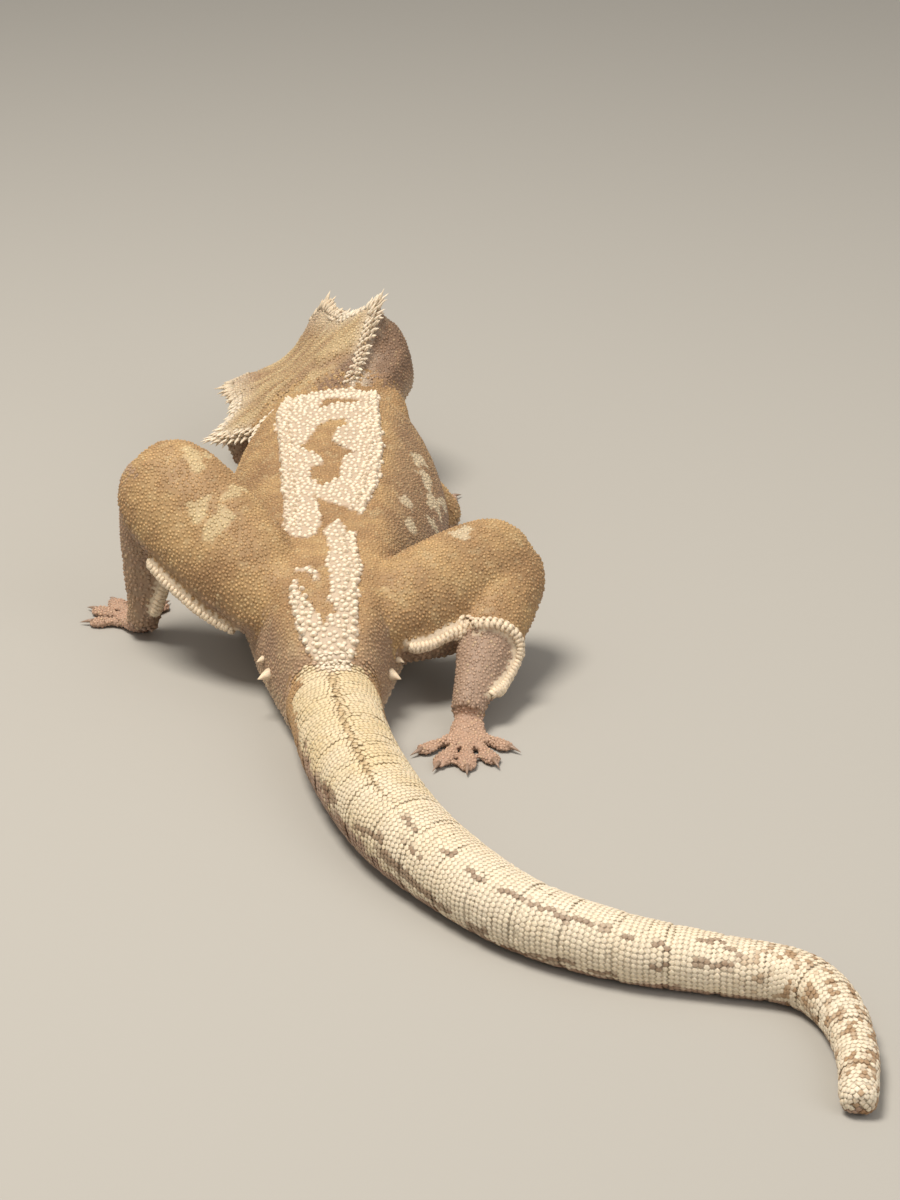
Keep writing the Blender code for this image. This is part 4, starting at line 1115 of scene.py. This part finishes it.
def unwrap_of(spot):
    """A place on the map for each place on the skin: forms side by side, each along and round."""
    words = ["trunk", "head", "neck", "tail", "right hind", "left hind", "right fore", "left fore", "fringe"]
    found = np.zeros((len(spot.place), 2))
    number_of = {}
    for number, form in enumerate(FORMS):
        column = next((k for k, word in enumerate(words) if word in form.name), len(words) - 1)
        number_of[number] = column
    rows = {}
    for number, form in enumerate(FORMS):
        rows.setdefault(number_of[number], []).append(number)
    for column, members in rows.items():
        for row, number in enumerate(members):
            here = spot.form == number
            low, high = FORMS[number].places[0], FORMS[number].places[-1]
            along = (spot.place[here] - low) / (high - low)
            found[here, 0] = (column + 0.03 + 0.94 * spot.angle[here]) / len(words)
            found[here, 1] = (row + 0.03 + 0.94 * along) / len(members)
    return found


def scatter(mesh, spacing_of, seed):
    """Places all over the skin, no two closer than the spacing there."""
    mesh.calc_loop_triangles()
    triangles = np.zeros(len(mesh.loop_triangles) * 3, int)
    mesh.loop_triangles.foreach_get("vertices", triangles)
    triangles = triangles.reshape(-1, 3)
    corners, normals = corners_of(mesh), normals_of(mesh)
    a, b, c = (corners[triangles[:, k]] for k in range(3))
    area = np.linalg.norm(np.cross(b - a, c - a), axis=1) / 2
    middle = (a + b + c) / 3
    spacing = spacing_of(middle, normals[triangles[:, 0]])
    want = np.where(spacing > 0, area / np.maximum(spacing, 0.05) ** 2, 0.0)
    rng = np.random.default_rng(seed)
    count = int(want.sum() * 3.2)
    chosen = rng.choice(len(want), count, p=want / want.sum())
    u, v = rng.random(count), rng.random(count)
    flip = u + v > 1
    u, v = np.where(flip, 1 - u, u), np.where(flip, 1 - v, v)
    places = a[chosen] + (b[chosen] - a[chosen]) * u[:, None] + (c[chosen] - a[chosen]) * v[:, None]
    ways = [normals[triangles[chosen, k]] for k in range(3)]
    ways = ways[0] * (1 - u - v)[:, None] + ways[1] * u[:, None] + ways[2] * v[:, None]
    ways /= np.linalg.norm(ways, axis=1)[:, None]
    apart = spacing[chosen]
    tree = KDTree(count)
    for k, place in enumerate(places):
        tree.insert(place, k)
    tree.balance()
    taken = np.zeros(count, bool)
    kept = []
    for k in range(count):
        if not taken[k]:
            kept.append(k)
            for _, other, _ in tree.find_range(places[k], apart[k]):
                taken[other] = True
    return places[kept], ways[kept], apart[kept]


def body_spacing(places, normals):
    """How far apart the small scales stand: 0 where another kind of scale grows."""
    spot = where(places)
    local = in_head(places)
    spacing = np.where(normals[:, 2] > -0.1, 0.35, 0.5)
    spacing[named(spot, "foot")] = 0.33
    spacing[named(spot, "head") & (local[:, 1] > 20)] = 0.34
    spacing[named(spot, "tail") | named(spot, "fringe")] = 0.0
    cream = back_cream(places, normals, spot)
    spacing[cream > 0.5] = 0.0
    spacing[places[:, 2] < 0.12] = 0.0
    spacing[ear_share(local) > 0.35] = 0.0
    for side in (1, -1):
        eye = np.linalg.norm(local - np.array((EYE_AT.x * side, EYE_AT.y, EYE_AT.z)), axis=1)
        spacing[eye < EYE_RADIUS + 0.1] = 0.0
    return spacing


def patch_spacing(places, normals):
    """How far apart the knobs of the cream patches stand."""
    spot = where(places)
    return np.where(back_cream(places, normals, spot) > 0.6, 0.56, 0.0)


# Materials


def node(tree, kind, inputs=(), **settings):
    """A node with its settings, each input a value or the output that feeds it."""
    made = tree.nodes.new(kind)
    for name, value in settings.items():
        setattr(made, name, value)
    for name, value in dict(inputs).items():
        if isinstance(value, bpy.types.NodeSocket):
            tree.links.new(value, made.inputs[name])
        else:
            made.inputs[name].default_value = value
    return made


def surface(name, roughness, scatter_share=0.0, ior=1.45):
    """A new material with one shader, and its tree."""
    material = bpy.data.materials.new(name)
    material.use_nodes = True
    shader = material.node_tree.nodes["Principled BSDF"]
    shader.inputs["Roughness"].default_value = roughness
    shader.inputs["IOR"].default_value = ior
    shader.inputs["Subsurface Weight"].default_value = scatter_share
    shader.inputs["Subsurface Radius"].default_value = (1.0, 0.5, 0.3)
    shader.inputs["Subsurface Scale"].default_value = 0.0008
    return material, material.node_tree, shader


def keratin(name, roughness, grain_mm, height):
    """Keratin of reptile skin, dry and soft: matt, with a fine grain that breaks up the light."""
    material, tree, shader = surface(name, roughness, 0.08)
    tint = node(tree, "ShaderNodeAttribute", attribute_name="tint")
    spots = node(tree, "ShaderNodeTexCoord")
    grain = node(
        tree, "ShaderNodeTexNoise",
        {"Vector": spots.outputs["Object"], "Scale": 1.0 / (grain_mm * MM), "Detail": 3.0},
    )
    tone = node(
        tree, "ShaderNodeMapRange",
        {"Value": grain.outputs["Fac"], "From Min": 0.3, "From Max": 0.7, "To Min": 0.86, "To Max": 1.12},
    )
    toned = node(
        tree, "ShaderNodeVectorMath", {0: tint.outputs["Color"], "Scale": tone.outputs["Result"]},
        operation="SCALE",
    )
    bump = node(
        tree, "ShaderNodeBump", {"Height": grain.outputs["Fac"], "Strength": 0.6, "Distance": height * MM}
    )
    tree.links.new(toned.outputs["Vector"], shader.inputs["Base Color"])
    tree.links.new(bump.outputs["Normal"], shader.inputs["Normal"])
    return material


def eye_material():
    """A wet cornea over a golden iris: hard gloss, dark wavy veins and an upright slit."""
    material, tree, shader = surface("wet eye", 0.06, 0.0, 1.38)
    gaze = node(tree, "ShaderNodeUVMap", uv_map="gaze")
    parts = node(tree, "ShaderNodeSeparateXYZ", {"Vector": gaze.outputs["UV"]})
    wavy = node(tree, "ShaderNodeTexNoise", {"Vector": gaze.outputs["UV"], "Scale": 14.0, "Detail": 3.0})
    across = node(tree, "ShaderNodeMath", {0: parts.outputs["X"], 1: 0.5}, operation="SUBTRACT")
    up = node(tree, "ShaderNodeMath", {0: parts.outputs["Y"], 1: 0.5}, operation="SUBTRACT")
    reach = node(tree, "ShaderNodeMath", {0: up.outputs[0], 1: up.outputs[0]}, operation="MULTIPLY")
    narrow = node(tree, "ShaderNodeMath", {0: reach.outputs[0], 1: -0.9, 2: 0.036}, operation="MULTIPLY_ADD")
    wave = node(
        tree, "ShaderNodeMath", {0: wavy.outputs["Fac"], 1: 0.03, 2: -0.015}, operation="MULTIPLY_ADD"
    )
    wide = node(tree, "ShaderNodeMath", {0: narrow.outputs[0], 1: wave.outputs[0]}, operation="ADD")
    off = node(tree, "ShaderNodeMath", {0: across.outputs[0]}, operation="ABSOLUTE")
    slit = node(tree, "ShaderNodeMath", {0: off.outputs[0], 1: wide.outputs[0]}, operation="LESS_THAN")
    veins = node(
        tree, "ShaderNodeTexNoise",
        {"Vector": gaze.outputs["UV"], "Scale": 26.0, "Detail": 5.0, "Distortion": 1.6},
    )
    iris = node(tree, "ShaderNodeValToRGB", {"Fac": veins.outputs["Fac"]})
    for stop, name, position in zip((0, 1), ("5A3B20", "C79A55"), (0.36, 0.62)):
        iris.color_ramp.elements[stop].position = position
        iris.color_ramp.elements[stop].color = (*linear(name), 1.0)
    dark = node(
        tree, "ShaderNodeMix",
        {"Factor": slit.outputs[0], "A": iris.outputs["Color"], "B": (0.004, 0.003, 0.003, 1.0)},
        data_type="RGBA",
    )
    tree.links.new(dark.outputs["Result"], shader.inputs["Base Color"])
    return material


def horn():
    """Horn of the claws: smooth, brown and faintly shiny, mottled with a paler brown."""
    material, tree, shader = surface("horn", 0.35, 0.0)
    spots = node(tree, "ShaderNodeTexCoord")
    grain = node(tree, "ShaderNodeTexNoise", {"Vector": spots.outputs["Object"], "Scale": 2500.0})
    shade = node(tree, "ShaderNodeValToRGB", {"Fac": grain.outputs["Fac"]})
    for stop, name in zip((0, 1), ("claw", "mauve")):
        shade.color_ramp.elements[stop].color = (*linear(name), 1.0)
    tree.links.new(shade.outputs["Color"], shader.inputs["Base Color"])
    return material


def paper():
    """The pale paper of the floor: matt, with a barely seen grain."""
    material, tree, shader = surface("floor paper", 0.9)
    spots = node(tree, "ShaderNodeTexCoord")
    grain = node(tree, "ShaderNodeTexNoise", {"Vector": spots.outputs["Object"], "Scale": 300.0})
    bump = node(tree, "ShaderNodeBump", {"Height": grain.outputs["Fac"], "Strength": 0.1, "Distance": 0.0002})
    shader.inputs["Base Color"].default_value = (*linear("floor"), 1.0)
    tree.links.new(bump.outputs["Normal"], shader.inputs["Normal"])
    return material


# The animal


def plan_to_row():
    """The move from the plan, in millimetres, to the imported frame, found from the middle of the eyes."""
    middle = Vector()
    for name in ("eye_right", "eye_left"):
        low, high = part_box(name)
        middle += (low + high) / 4
    planned = head_frame() @ Vector((0.0, EYE_AT.y, EYE_AT.z))
    shift = middle / MM - planned
    shift.z = 0.0
    return Matrix.Scale(MM, 4) @ Matrix.Translation(shift)


def make_skin(material):
    """The one skin, in plan sizes for the scales that grow on it, and as a finished piece."""
    thing = skin_mesh()
    soften(thing.data)
    refine_face(thing.data)
    work_in(thing.data)
    grown = thing.data.copy()
    places, normals = corners_of(grown), normals_of(grown)
    spot = where(places)
    colours, cream_here = tints(places, normals, spot)
    mesh = thing.data
    attribute = mesh.color_attributes.new("tint", "FLOAT_COLOR", "POINT")
    # Painted shade: the bare skin between the scales is darkened, and drawn further to brown in the pits
    # between the knobs of the cream patches
    colours = mix(colours * 0.78, "brow", cream_here * 0.35)
    attribute.data.foreach_set("color", np.column_stack((colours, np.ones(len(colours)))).ravel())
    flat = mesh.uv_layers.new(name="OFBake")
    corner_of_loop = np.zeros(len(mesh.loops), int)
    mesh.loops.foreach_get("vertex_index", corner_of_loop)
    flat.data.foreach_set("uv", unwrap_of(spot)[corner_of_loop].ravel())
    mesh.transform(PLAN_TO_ROW)
    mesh.shade_smooth()
    mesh.materials.append(material)
    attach(thing, "root")
    flesh = [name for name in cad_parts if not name.startswith("eye")]
    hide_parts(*flesh)
    return grown


def grains(mesh, material):
    """The small scales all over, apart from the tail, the fringes and the cream patches."""
    at, up, apart = scatter(mesh, body_spacing, 5)
    spot = where(at)
    colours, _ = tints(at, up, spot)
    rng = np.random.default_rng(6)
    colours = colours * (0.86 + 0.3 * rng.random(len(at)))[:, None]
    colours = mix(colours, "butter", (rng.random(len(at)) > 0.93) * 0.3)
    size = apart * (1.5 + 0.4 * rng.random(len(at)))
    scales = Scales(at, up, spot.ahead, size, size * 1.15, size * 0.36, colours, unwrap_of(spot))
    for name, words, slot in (
        ("scales_trunk", ("trunk", "neck"), "skin_tan"),
        ("scales_head", ("head", "lid"), "skin_tan"),
        ("scales_hind_legs", ("hind",), "skin_tan"),
        ("scales_arms", ("fore",), "skin_tan"),
    ):
        chosen = np.zeros(len(at), bool)
        for word in words:
            chosen |= named(spot, word)
        coat(name, GRAIN, Scales(*[field[chosen] for field in scales]), material)


def patch_knobs(mesh, material):
    """The larger pale knobs of the cream patches; the pits between them show the painted shade of the skin.
    """
    at, up, apart = scatter(mesh, patch_spacing, 7)
    spot = where(at)
    colours, _ = tints(at, up, spot)
    rng = np.random.default_rng(8)
    colours = mix(colours, "cream", np.full(len(at), 0.7)) * (0.92 + 0.14 * rng.random(len(at)))[:, None]
    size = apart * (1.0 + 0.3 * rng.random(len(at)))
    scales = Scales(at, up, spot.ahead, size, size, size * 0.62, colours, unwrap_of(spot))
    coat("scales_cream_patches", KNOB, scales, material)


def set_on(tree, points, ways, aheads, sizes, colours):
    """Scales whose roots are moved to the nearest place of the skin."""
    at = []
    for point in points:
        place, _, _, _ = tree.find_nearest(point)
        at.append(place[:])
    at = np.array(at)
    sizes = np.array(sizes)
    ways = np.array([w[:] for w in ways])
    ways /= np.linalg.norm(ways, axis=1)[:, None]
    aheads = np.array([a[:] for a in aheads])
    return Scales(at, ways, aheads, sizes[:, 0], sizes[:, 1], sizes[:, 2], colours, unwrap_of(where(at)))


# The two columns of cones: how far inside the edge each runs, and the distance between its cones
CONE_COLUMNS = ((0.5, 1.15), (1.55, 1.3))
CONE_WOBBLE = 0.12


def patch_cones(tree, material):
    """Columns of blunt cones inside each long edge of the cream patches."""
    rng = random.Random(12)
    points, ways, aheads, sizes = [], [], [], []
    for inward, edge in PATCH_EDGES:
        edge = [Vector((x, y, 0.0)) for x, y in edge]
        for column, (off, step) in enumerate(CONE_COLUMNS):
            run, want = 0.0, 0.0
            for a, b in zip(edge, edge[1:]):
                long = (b - a).length
                while want < run + long:
                    sideways = inward * off + rng.uniform(-CONE_WOBBLE, CONE_WOBBLE)
                    at = a.lerp(b, (want - run) / long) + Vector((sideways, 0.0, 0.0))
                    hit = tree.ray_cast(Vector((at.x, at.y, 40.0)), Vector((0, 0, -1)))
                    points.append(hit[0])
                    ways.append(hit[1] + Vector((-inward * 0.15, -0.25, 0.0)))
                    aheads.append(Vector((0, 1, 0)))
                    size = rng.uniform(0.85, 1.1) * (1.0 if column == 0 else 0.85)
                    sizes.append((size, size * 1.05, size * 0.75))
                    want += step * rng.uniform(0.9, 1.1)
                run += long
    scales = set_on(tree, points, ways, aheads, sizes, np.tile(linear("cream"), (len(points), 1)))
    coat("patch_cones", THORN, scales, material)


def spurs(tree, material):
    """The pale bumps beside the vent, one large and one small on each side."""
    points, ways, aheads, sizes = [], [], [], []
    for side in (1, -1):
        for y, high, size in ((SPUR_Y, 0.4, 1.6), (SPUR_Y + 2.4, 0.42, 1.0)):
            s = between(TRUNK, y)
            points.append(Vector((s.x + side * s.half, s.y, s.top * high)))
            ways.append(Vector((side, -0.7, 0.2)))
            aheads.append(Vector((0, 0, 1)))
            sizes.append((size, size, size * 0.85))
    scales = set_on(tree, points, ways, aheads, sizes, np.tile(linear("fringe"), (len(points), 1)))
    coat("spurs", THORN, scales, material)


# Plates of the tail: their step, how many close its tip, and the turn from one of those to the next
PLATE_STEP = 0.52
TIP_PLATES = 60
GOLDEN_TURN = 2.4


def tail_plates(tree, material):
    """Rings of small plates round the tail."""
    rng = random.Random(14)
    points, ways, aheads, sizes = [], [], [], []
    up = Vector((0, 0, 1))
    run = 0.4
    while run < TAIL_LONG:
        here, way, across = tail_way(tail_at(run))
        tall = here.half * TAIL_TALL
        centre = Vector((here.x, here.y, tall - 0.25))
        count = round(2 * math.pi * here.half / PLATE_STEP)
        turn = rng.uniform(0, 1)
        for k in range(count):
            angle = 2 * math.pi * (k + turn) / count
            out = across * math.cos(angle) * here.half + up * math.sin(angle) * tall
            if centre.z + out.z > 0.3:
                points.append(centre + out)
                ways.append(out.normalized())
                aheads.append(way)
                sizes.append((rng.uniform(0.5, 0.6), rng.uniform(0.52, 0.6), rng.uniform(0.14, 0.22)))
        run += PLATE_STEP
    tip = tail_way(TAIL[-1].along)[1]
    for k in range(TIP_PLATES):
        angle, lean = k * GOLDEN_TURN, math.sqrt((k + 0.5) / TIP_PLATES) * QUARTER
        here, way, across = tail_way(TAIL[-1].along)
        out = (across * math.cos(angle) + up * math.sin(angle)) * math.sin(lean) + tip * math.cos(lean)
        centre = Vector((here.x, here.y, here.half * TAIL_TALL - 0.25))
        if (centre + out * here.half).z > 0.3:
            points.append(centre + out * here.half)
            ways.append(out)
            aheads.append(up if abs(out.z) < 0.8 else across)
            sizes.append((0.55, 0.55, 0.25))
    scales = set_on(tree, points, ways, aheads, sizes, np.zeros((len(points), 3)))
    spot = where(scales.at)
    colours, _ = tints(scales.at, scales.up, spot)
    rng = np.random.default_rng(15)
    colours = colours * (0.94 + 0.12 * rng.random(len(points)))[:, None]
    coat("tail_plates", PLATE, scales._replace(tint=colours), material)


def crest_edge(side):
    """Points along the edge of the crest, the way its spines point there and the place along the head."""
    turn = head_frame().to_3x3()
    path = []
    for y in steps(CREST_LIES[0].y, CREST_LIES[-1].y, 0.25):
        s, lie = between(SKULL, y), between(CREST_LIES, y)
        point = head_frame() @ Vector((side * s.crest, y, s.crest_z))
        path.append((point, turn @ Vector((side * lie.side, lie.ahead, lie.up)), y))
    return path


# The rows of the crest's scales: number, distance between scales, how far in from the edge and how far
# up they stand, and their share of the front row's length
CREST_ROWS = (
    (0, 0.78, 0.0, 0.0, 1.0), (1, 0.85, 0.55, 0.25, 0.7), (2, 0.9, 0.25, -0.5, 0.6),
    (3, 0.95, 1.7, 0.2, 0.5), (4, 0.9, 1.1, 0.3, 0.6),
)


def crest_spines(tree, material):
    """The crest's pointed scales, in rows from its edge inwards and one row under it."""
    rng = random.Random(16)
    turn = head_frame().to_3x3()
    points, ways, aheads, sizes = [], [], [], []
    for side in (1, -1):
        path = crest_edge(side)
        run = 0.0
        want = {0: 0.0, 1: 0.3, 2: 0.5, 3: 0.4, 4: 0.1}
        for (before, _, _), (point, way, y) in zip(path, path[1:]):
            run += (point - before).length
            for row, step, inward, drop, long_share in CREST_ROWS:
                if run < want[row] or (row == 3 and y > 9.0):
                    continue
                want[row] += step
                extra = sum(
                    longer * math.exp(-(((y - at) / width) ** 2)) for at, width, longer in LONG_SPINES
                )
                length = (0.95 + extra * rng.uniform(0.7, 1.15)) * long_share * rng.uniform(0.85, 1.15)
                wobble = Vector((rng.uniform(-1, 1), rng.uniform(-1, 1), rng.uniform(-1, 1))) * 0.2
                inward_way = turn @ Vector((-side * inward, 0, drop))
                points.append(point + inward_way)
                ways.append(way.normalized() + wobble + (turn @ Vector((0, 0, drop))) * 0.6)
                aheads.append(turn @ Vector((0, 0, 1)))
                sizes.append((0.72, 0.62, length))
    scales = set_on(tree, points, ways, aheads, sizes, np.tile(linear("cream"), (len(points), 1)))
    rng = np.random.default_rng(17)
    tone = 0.86 + 0.14 * rng.random(len(points))
    local = in_head(scales.at)
    colours = mix(scales.tint * tone[:, None], "crown", smooth(4.0, 10.0, local[:, 1]) * 0.35)
    coat("crest_spines", THORN, scales._replace(tint=colours), material)


# The distance between two ribs of a fringe
FRINGE_STEP = 0.52


def fringe_scales(tree, material):
    """Low cream ribs, three abreast, along the fringes of the hind legs."""
    rng = random.Random(18)
    points, ways, aheads, sizes = [], [], [], []
    for path in FRINGE_PATHS:
        run, want = 0.0, [0.0, 0.4, 0.2]
        for (before, _), (point, out) in zip(path, path[1:]):
            run += (point - before).length
            ahead = (point - before).normalized()
            side = ahead.cross(out).normalized()
            for row, turn in enumerate((0.0, 0.9, -0.9)):
                while want[row] < run:
                    way = out * math.cos(turn) + side * math.sin(turn)
                    at = point - ahead * (run - want[row])
                    points.append(at + out * FRINGE_OUT + way * FRINGE_THICK)
                    ways.append(way)
                    aheads.append(ahead)
                    size = rng.uniform(0.95, 1.1)
                    sizes.append((size, size * 0.62, size * 0.34))
                    want[row] += FRINGE_STEP
    scales = set_on(tree, points, ways, aheads, sizes, np.tile(linear("fringe"), (len(points), 1)))
    rng = np.random.default_rng(19)
    colours = scales.tint * (0.9 + 0.1 * rng.random(len(points)))[:, None]
    coat("fringe_scales", KNOB, scales._replace(tint=colours), material)


def face_plates(tree, material):
    """Plates along both lips, and a ring of small scales on the rim of each eye."""
    rng = random.Random(20)
    turn = head_frame().to_3x3()
    points, ways, aheads, sizes = [], [], [], []
    for side in (1, -1):
        for off in (0.62, -0.62):
            for y in steps(7.0, 29.0, 1.05):
                at = skull_side(y, between(MOUTH, y).z + off)
                points.append(head_frame() @ Vector((side * at.x, at.y, at.z)))
                near = skull_side(y + 0.5, between(MOUTH, y).z + off)
                ahead = Vector((side * (near.x - at.x), 0.5, 0.0)).normalized()
                ways.append(turn @ Vector((side * ahead.y, -abs(ahead.x) * -1.0, 0.1 * off)))
                aheads.append(turn @ ahead)
                shrink = 1.0 - 0.35 * (y - 7.0) / 22.0
                sizes.append((0.95 * shrink, 1.1 * rng.uniform(0.9, 1.05) * shrink, 0.3))
        centre, faces = lid_seat(side)
        across = faces.cross(Vector((0, 0, 1))).normalized()
        up = across.cross(faces)
        for tilt, count in ((0.2, 34), (0.95, 40)):
            for k in range(count):
                angle = 2 * math.pi * (k + tilt) / count
                out = across * math.cos(angle) + up * math.sin(angle)
                way = faces * math.cos(tilt) + out * math.sin(tilt)
                points.append(head_frame() @ (centre + out * LID_RING + way * LID_THICK))
                ways.append(turn @ way)
                aheads.append(turn @ up.cross(out) if abs(up.cross(out).length) > 0.1 else turn @ up)
                sizes.append((0.6, 0.55, 0.3))
    scales = set_on(tree, points, ways, aheads, sizes, np.zeros((len(points), 3)))
    colours, _ = tints(scales.at, scales.up, where(scales.at))
    colours = mix(colours, "butter", np.full(len(points), 0.25))
    coat("face_plates", KNOB, scales._replace(tint=colours), material)


def claws(material):
    """A small hooked claw at the tip of each toe."""
    points = np.array([(tip + Vector((0, 0, 0.62)))[:] for tip, _ in TOE_TIPS])
    ways = np.array([(way - Vector((0, 0, 0.12))).normalized()[:] for _, way in TOE_TIPS])
    count = len(points)
    scales = Scales(
        points, ways, np.tile([0.0, 0.0, 1.0], (count, 1)), np.full(count, 0.55), np.full(count, 0.5),
        np.full(count, 1.25), np.tile(linear("claw"), (count, 1)), unwrap_of(where(points)),
    )
    coat("claws", THORN, scales, material)


def make_eye(name, side, material):
    """One eyeball, with a map of how far each point of it is off the middle of its gaze."""
    form = bmesh.new()
    bmesh.ops.create_uvsphere(form, u_segments=64, v_segments=40, radius=EYE_RADIUS)
    _, faces = lid_seat(side)
    turn = Vector((0, 0, 1)).rotation_difference(faces).to_matrix()
    across = faces.cross(Vector((0, 0, 1))).normalized()
    up = across.cross(faces)
    bmesh.ops.rotate(form, verts=form.verts, cent=(0, 0, 0), matrix=turn)
    gaze = form.loops.layers.uv.new("gaze")
    for face in form.faces:
        for loop in face.loops:
            way = loop.vert.co.normalized()
            off = way.angle(faces) / math.pi
            flat = Vector((way.dot(across), way.dot(up)))
            flat = flat.normalized() * off if flat.length > 1e-6 else Vector((0, 0))
            loop[gaze].uv = (0.5 + flat.x, 0.5 + flat.y)
    place = Matrix.Translation(Vector((EYE_AT.x * side, EYE_AT.y, EYE_AT.z)))
    bmesh.ops.transform(form, matrix=PLAN_TO_ROW @ head_frame() @ place, verts=form.verts)
    mesh = bpy.data.meshes.new(name)
    form.to_mesh(mesh)
    form.free()
    mesh.shade_smooth()
    mesh.materials.append(material)
    thing = bpy.data.objects.new(name, mesh)
    bpy.context.scene.collection.objects.link(thing)
    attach(thing, "root")
    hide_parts("eye_right" if side > 0 else "eye_left")


# Stage

LENS_MM, SENSOR_MM = 81.0, 36.0
CAMERA_AT = Vector((13.0, -250.0, 129.0))
CAMERA_DOWN = 24.0
# Soft lamps, in metres from the middle of the animal, with their width, power and colour
Lamp = namedtuple("Lamp", "name at across power colour")
LAMPS = (
    Lamp("key", (-0.12, -0.04, 0.46), 0.2, 2.55, (1.0, 0.95, 0.88)),
    Lamp("fill", (0.35, -0.35, 0.3), 0.4, 0.8, (0.97, 0.97, 1.0)),
)
ROOM_COLOUR = (1.0, 0.97, 0.93, 1.0)
ROOM_STRENGTH = 0.45
FLOOR_HALF = 3.0


def make_floor(material):
    form = bmesh.new()
    bmesh.ops.create_grid(form, x_segments=1, y_segments=1, size=FLOOR_HALF)
    mesh = bpy.data.meshes.new("floor")
    form.to_mesh(mesh)
    form.free()
    mesh.materials.append(material)
    floor = bpy.data.objects.new("floor", mesh)
    bpy.context.scene.collection.objects.link(floor)


def make_lights():
    world = bpy.data.worlds.new("pale room")
    bpy.context.scene.world = world
    world.use_nodes = True
    background = world.node_tree.nodes["Background"]
    background.inputs["Color"].default_value = ROOM_COLOUR
    background.inputs["Strength"].default_value = ROOM_STRENGTH
    for here in LAMPS:
        lamp = bpy.data.lights.new(here.name, "AREA")
        lamp.shape = "DISK"
        lamp.size = here.across
        lamp.energy = here.power
        lamp.color = here.colour
        thing = bpy.data.objects.new(here.name, lamp)
        thing.location = here.at
        thing.rotation_mode = "QUATERNION"
        thing.rotation_quaternion = (-Vector(here.at)).to_track_quat("-Z", "Y")
        bpy.context.scene.collection.objects.link(thing)


def make_look():
    """Plain colours, with no film curve over them."""
    bpy.context.scene.view_settings.view_transform = "Standard"


def make_camera():
    lens = bpy.data.cameras.new("camera")
    lens.sensor_width = SENSOR_MM
    lens.lens = LENS_MM
    lens.clip_start = 0.01
    lens.clip_end = 20.0
    camera = bpy.data.objects.new("camera", lens)
    camera.location = PLAN_TO_ROW @ CAMERA_AT
    camera.rotation_euler = (math.radians(90.0 - CAMERA_DOWN), 0.0, 0.0)
    bpy.context.scene.collection.objects.link(camera)
    bpy.context.scene.camera = camera


PLAN_TO_ROW = plan_to_row()
make_look()
make_camera()
make_lights()
make_floor(paper())
SKIN = keratin("reptile skin", 0.62, 0.25, 0.04)
SCALE = keratin("keratin scales", 0.55, 0.2, 0.02)
grown_skin = make_skin(SKIN)
form_of_skin = bmesh.new()
form_of_skin.from_mesh(grown_skin)
skin_tree = BVHTree.FromBMesh(form_of_skin)
form_of_skin.free()
grains(grown_skin, SCALE)
patch_knobs(grown_skin, SCALE)
patch_cones(skin_tree, SCALE)
spurs(skin_tree, SCALE)
tail_plates(skin_tree, SCALE)
crest_spines(skin_tree, SCALE)
fringe_scales(skin_tree, SCALE)
face_plates(skin_tree, SCALE)
claws(horn())
EYE = eye_material()
make_eye("right_eye", 1, EYE)
make_eye("left_eye", -1, EYE)
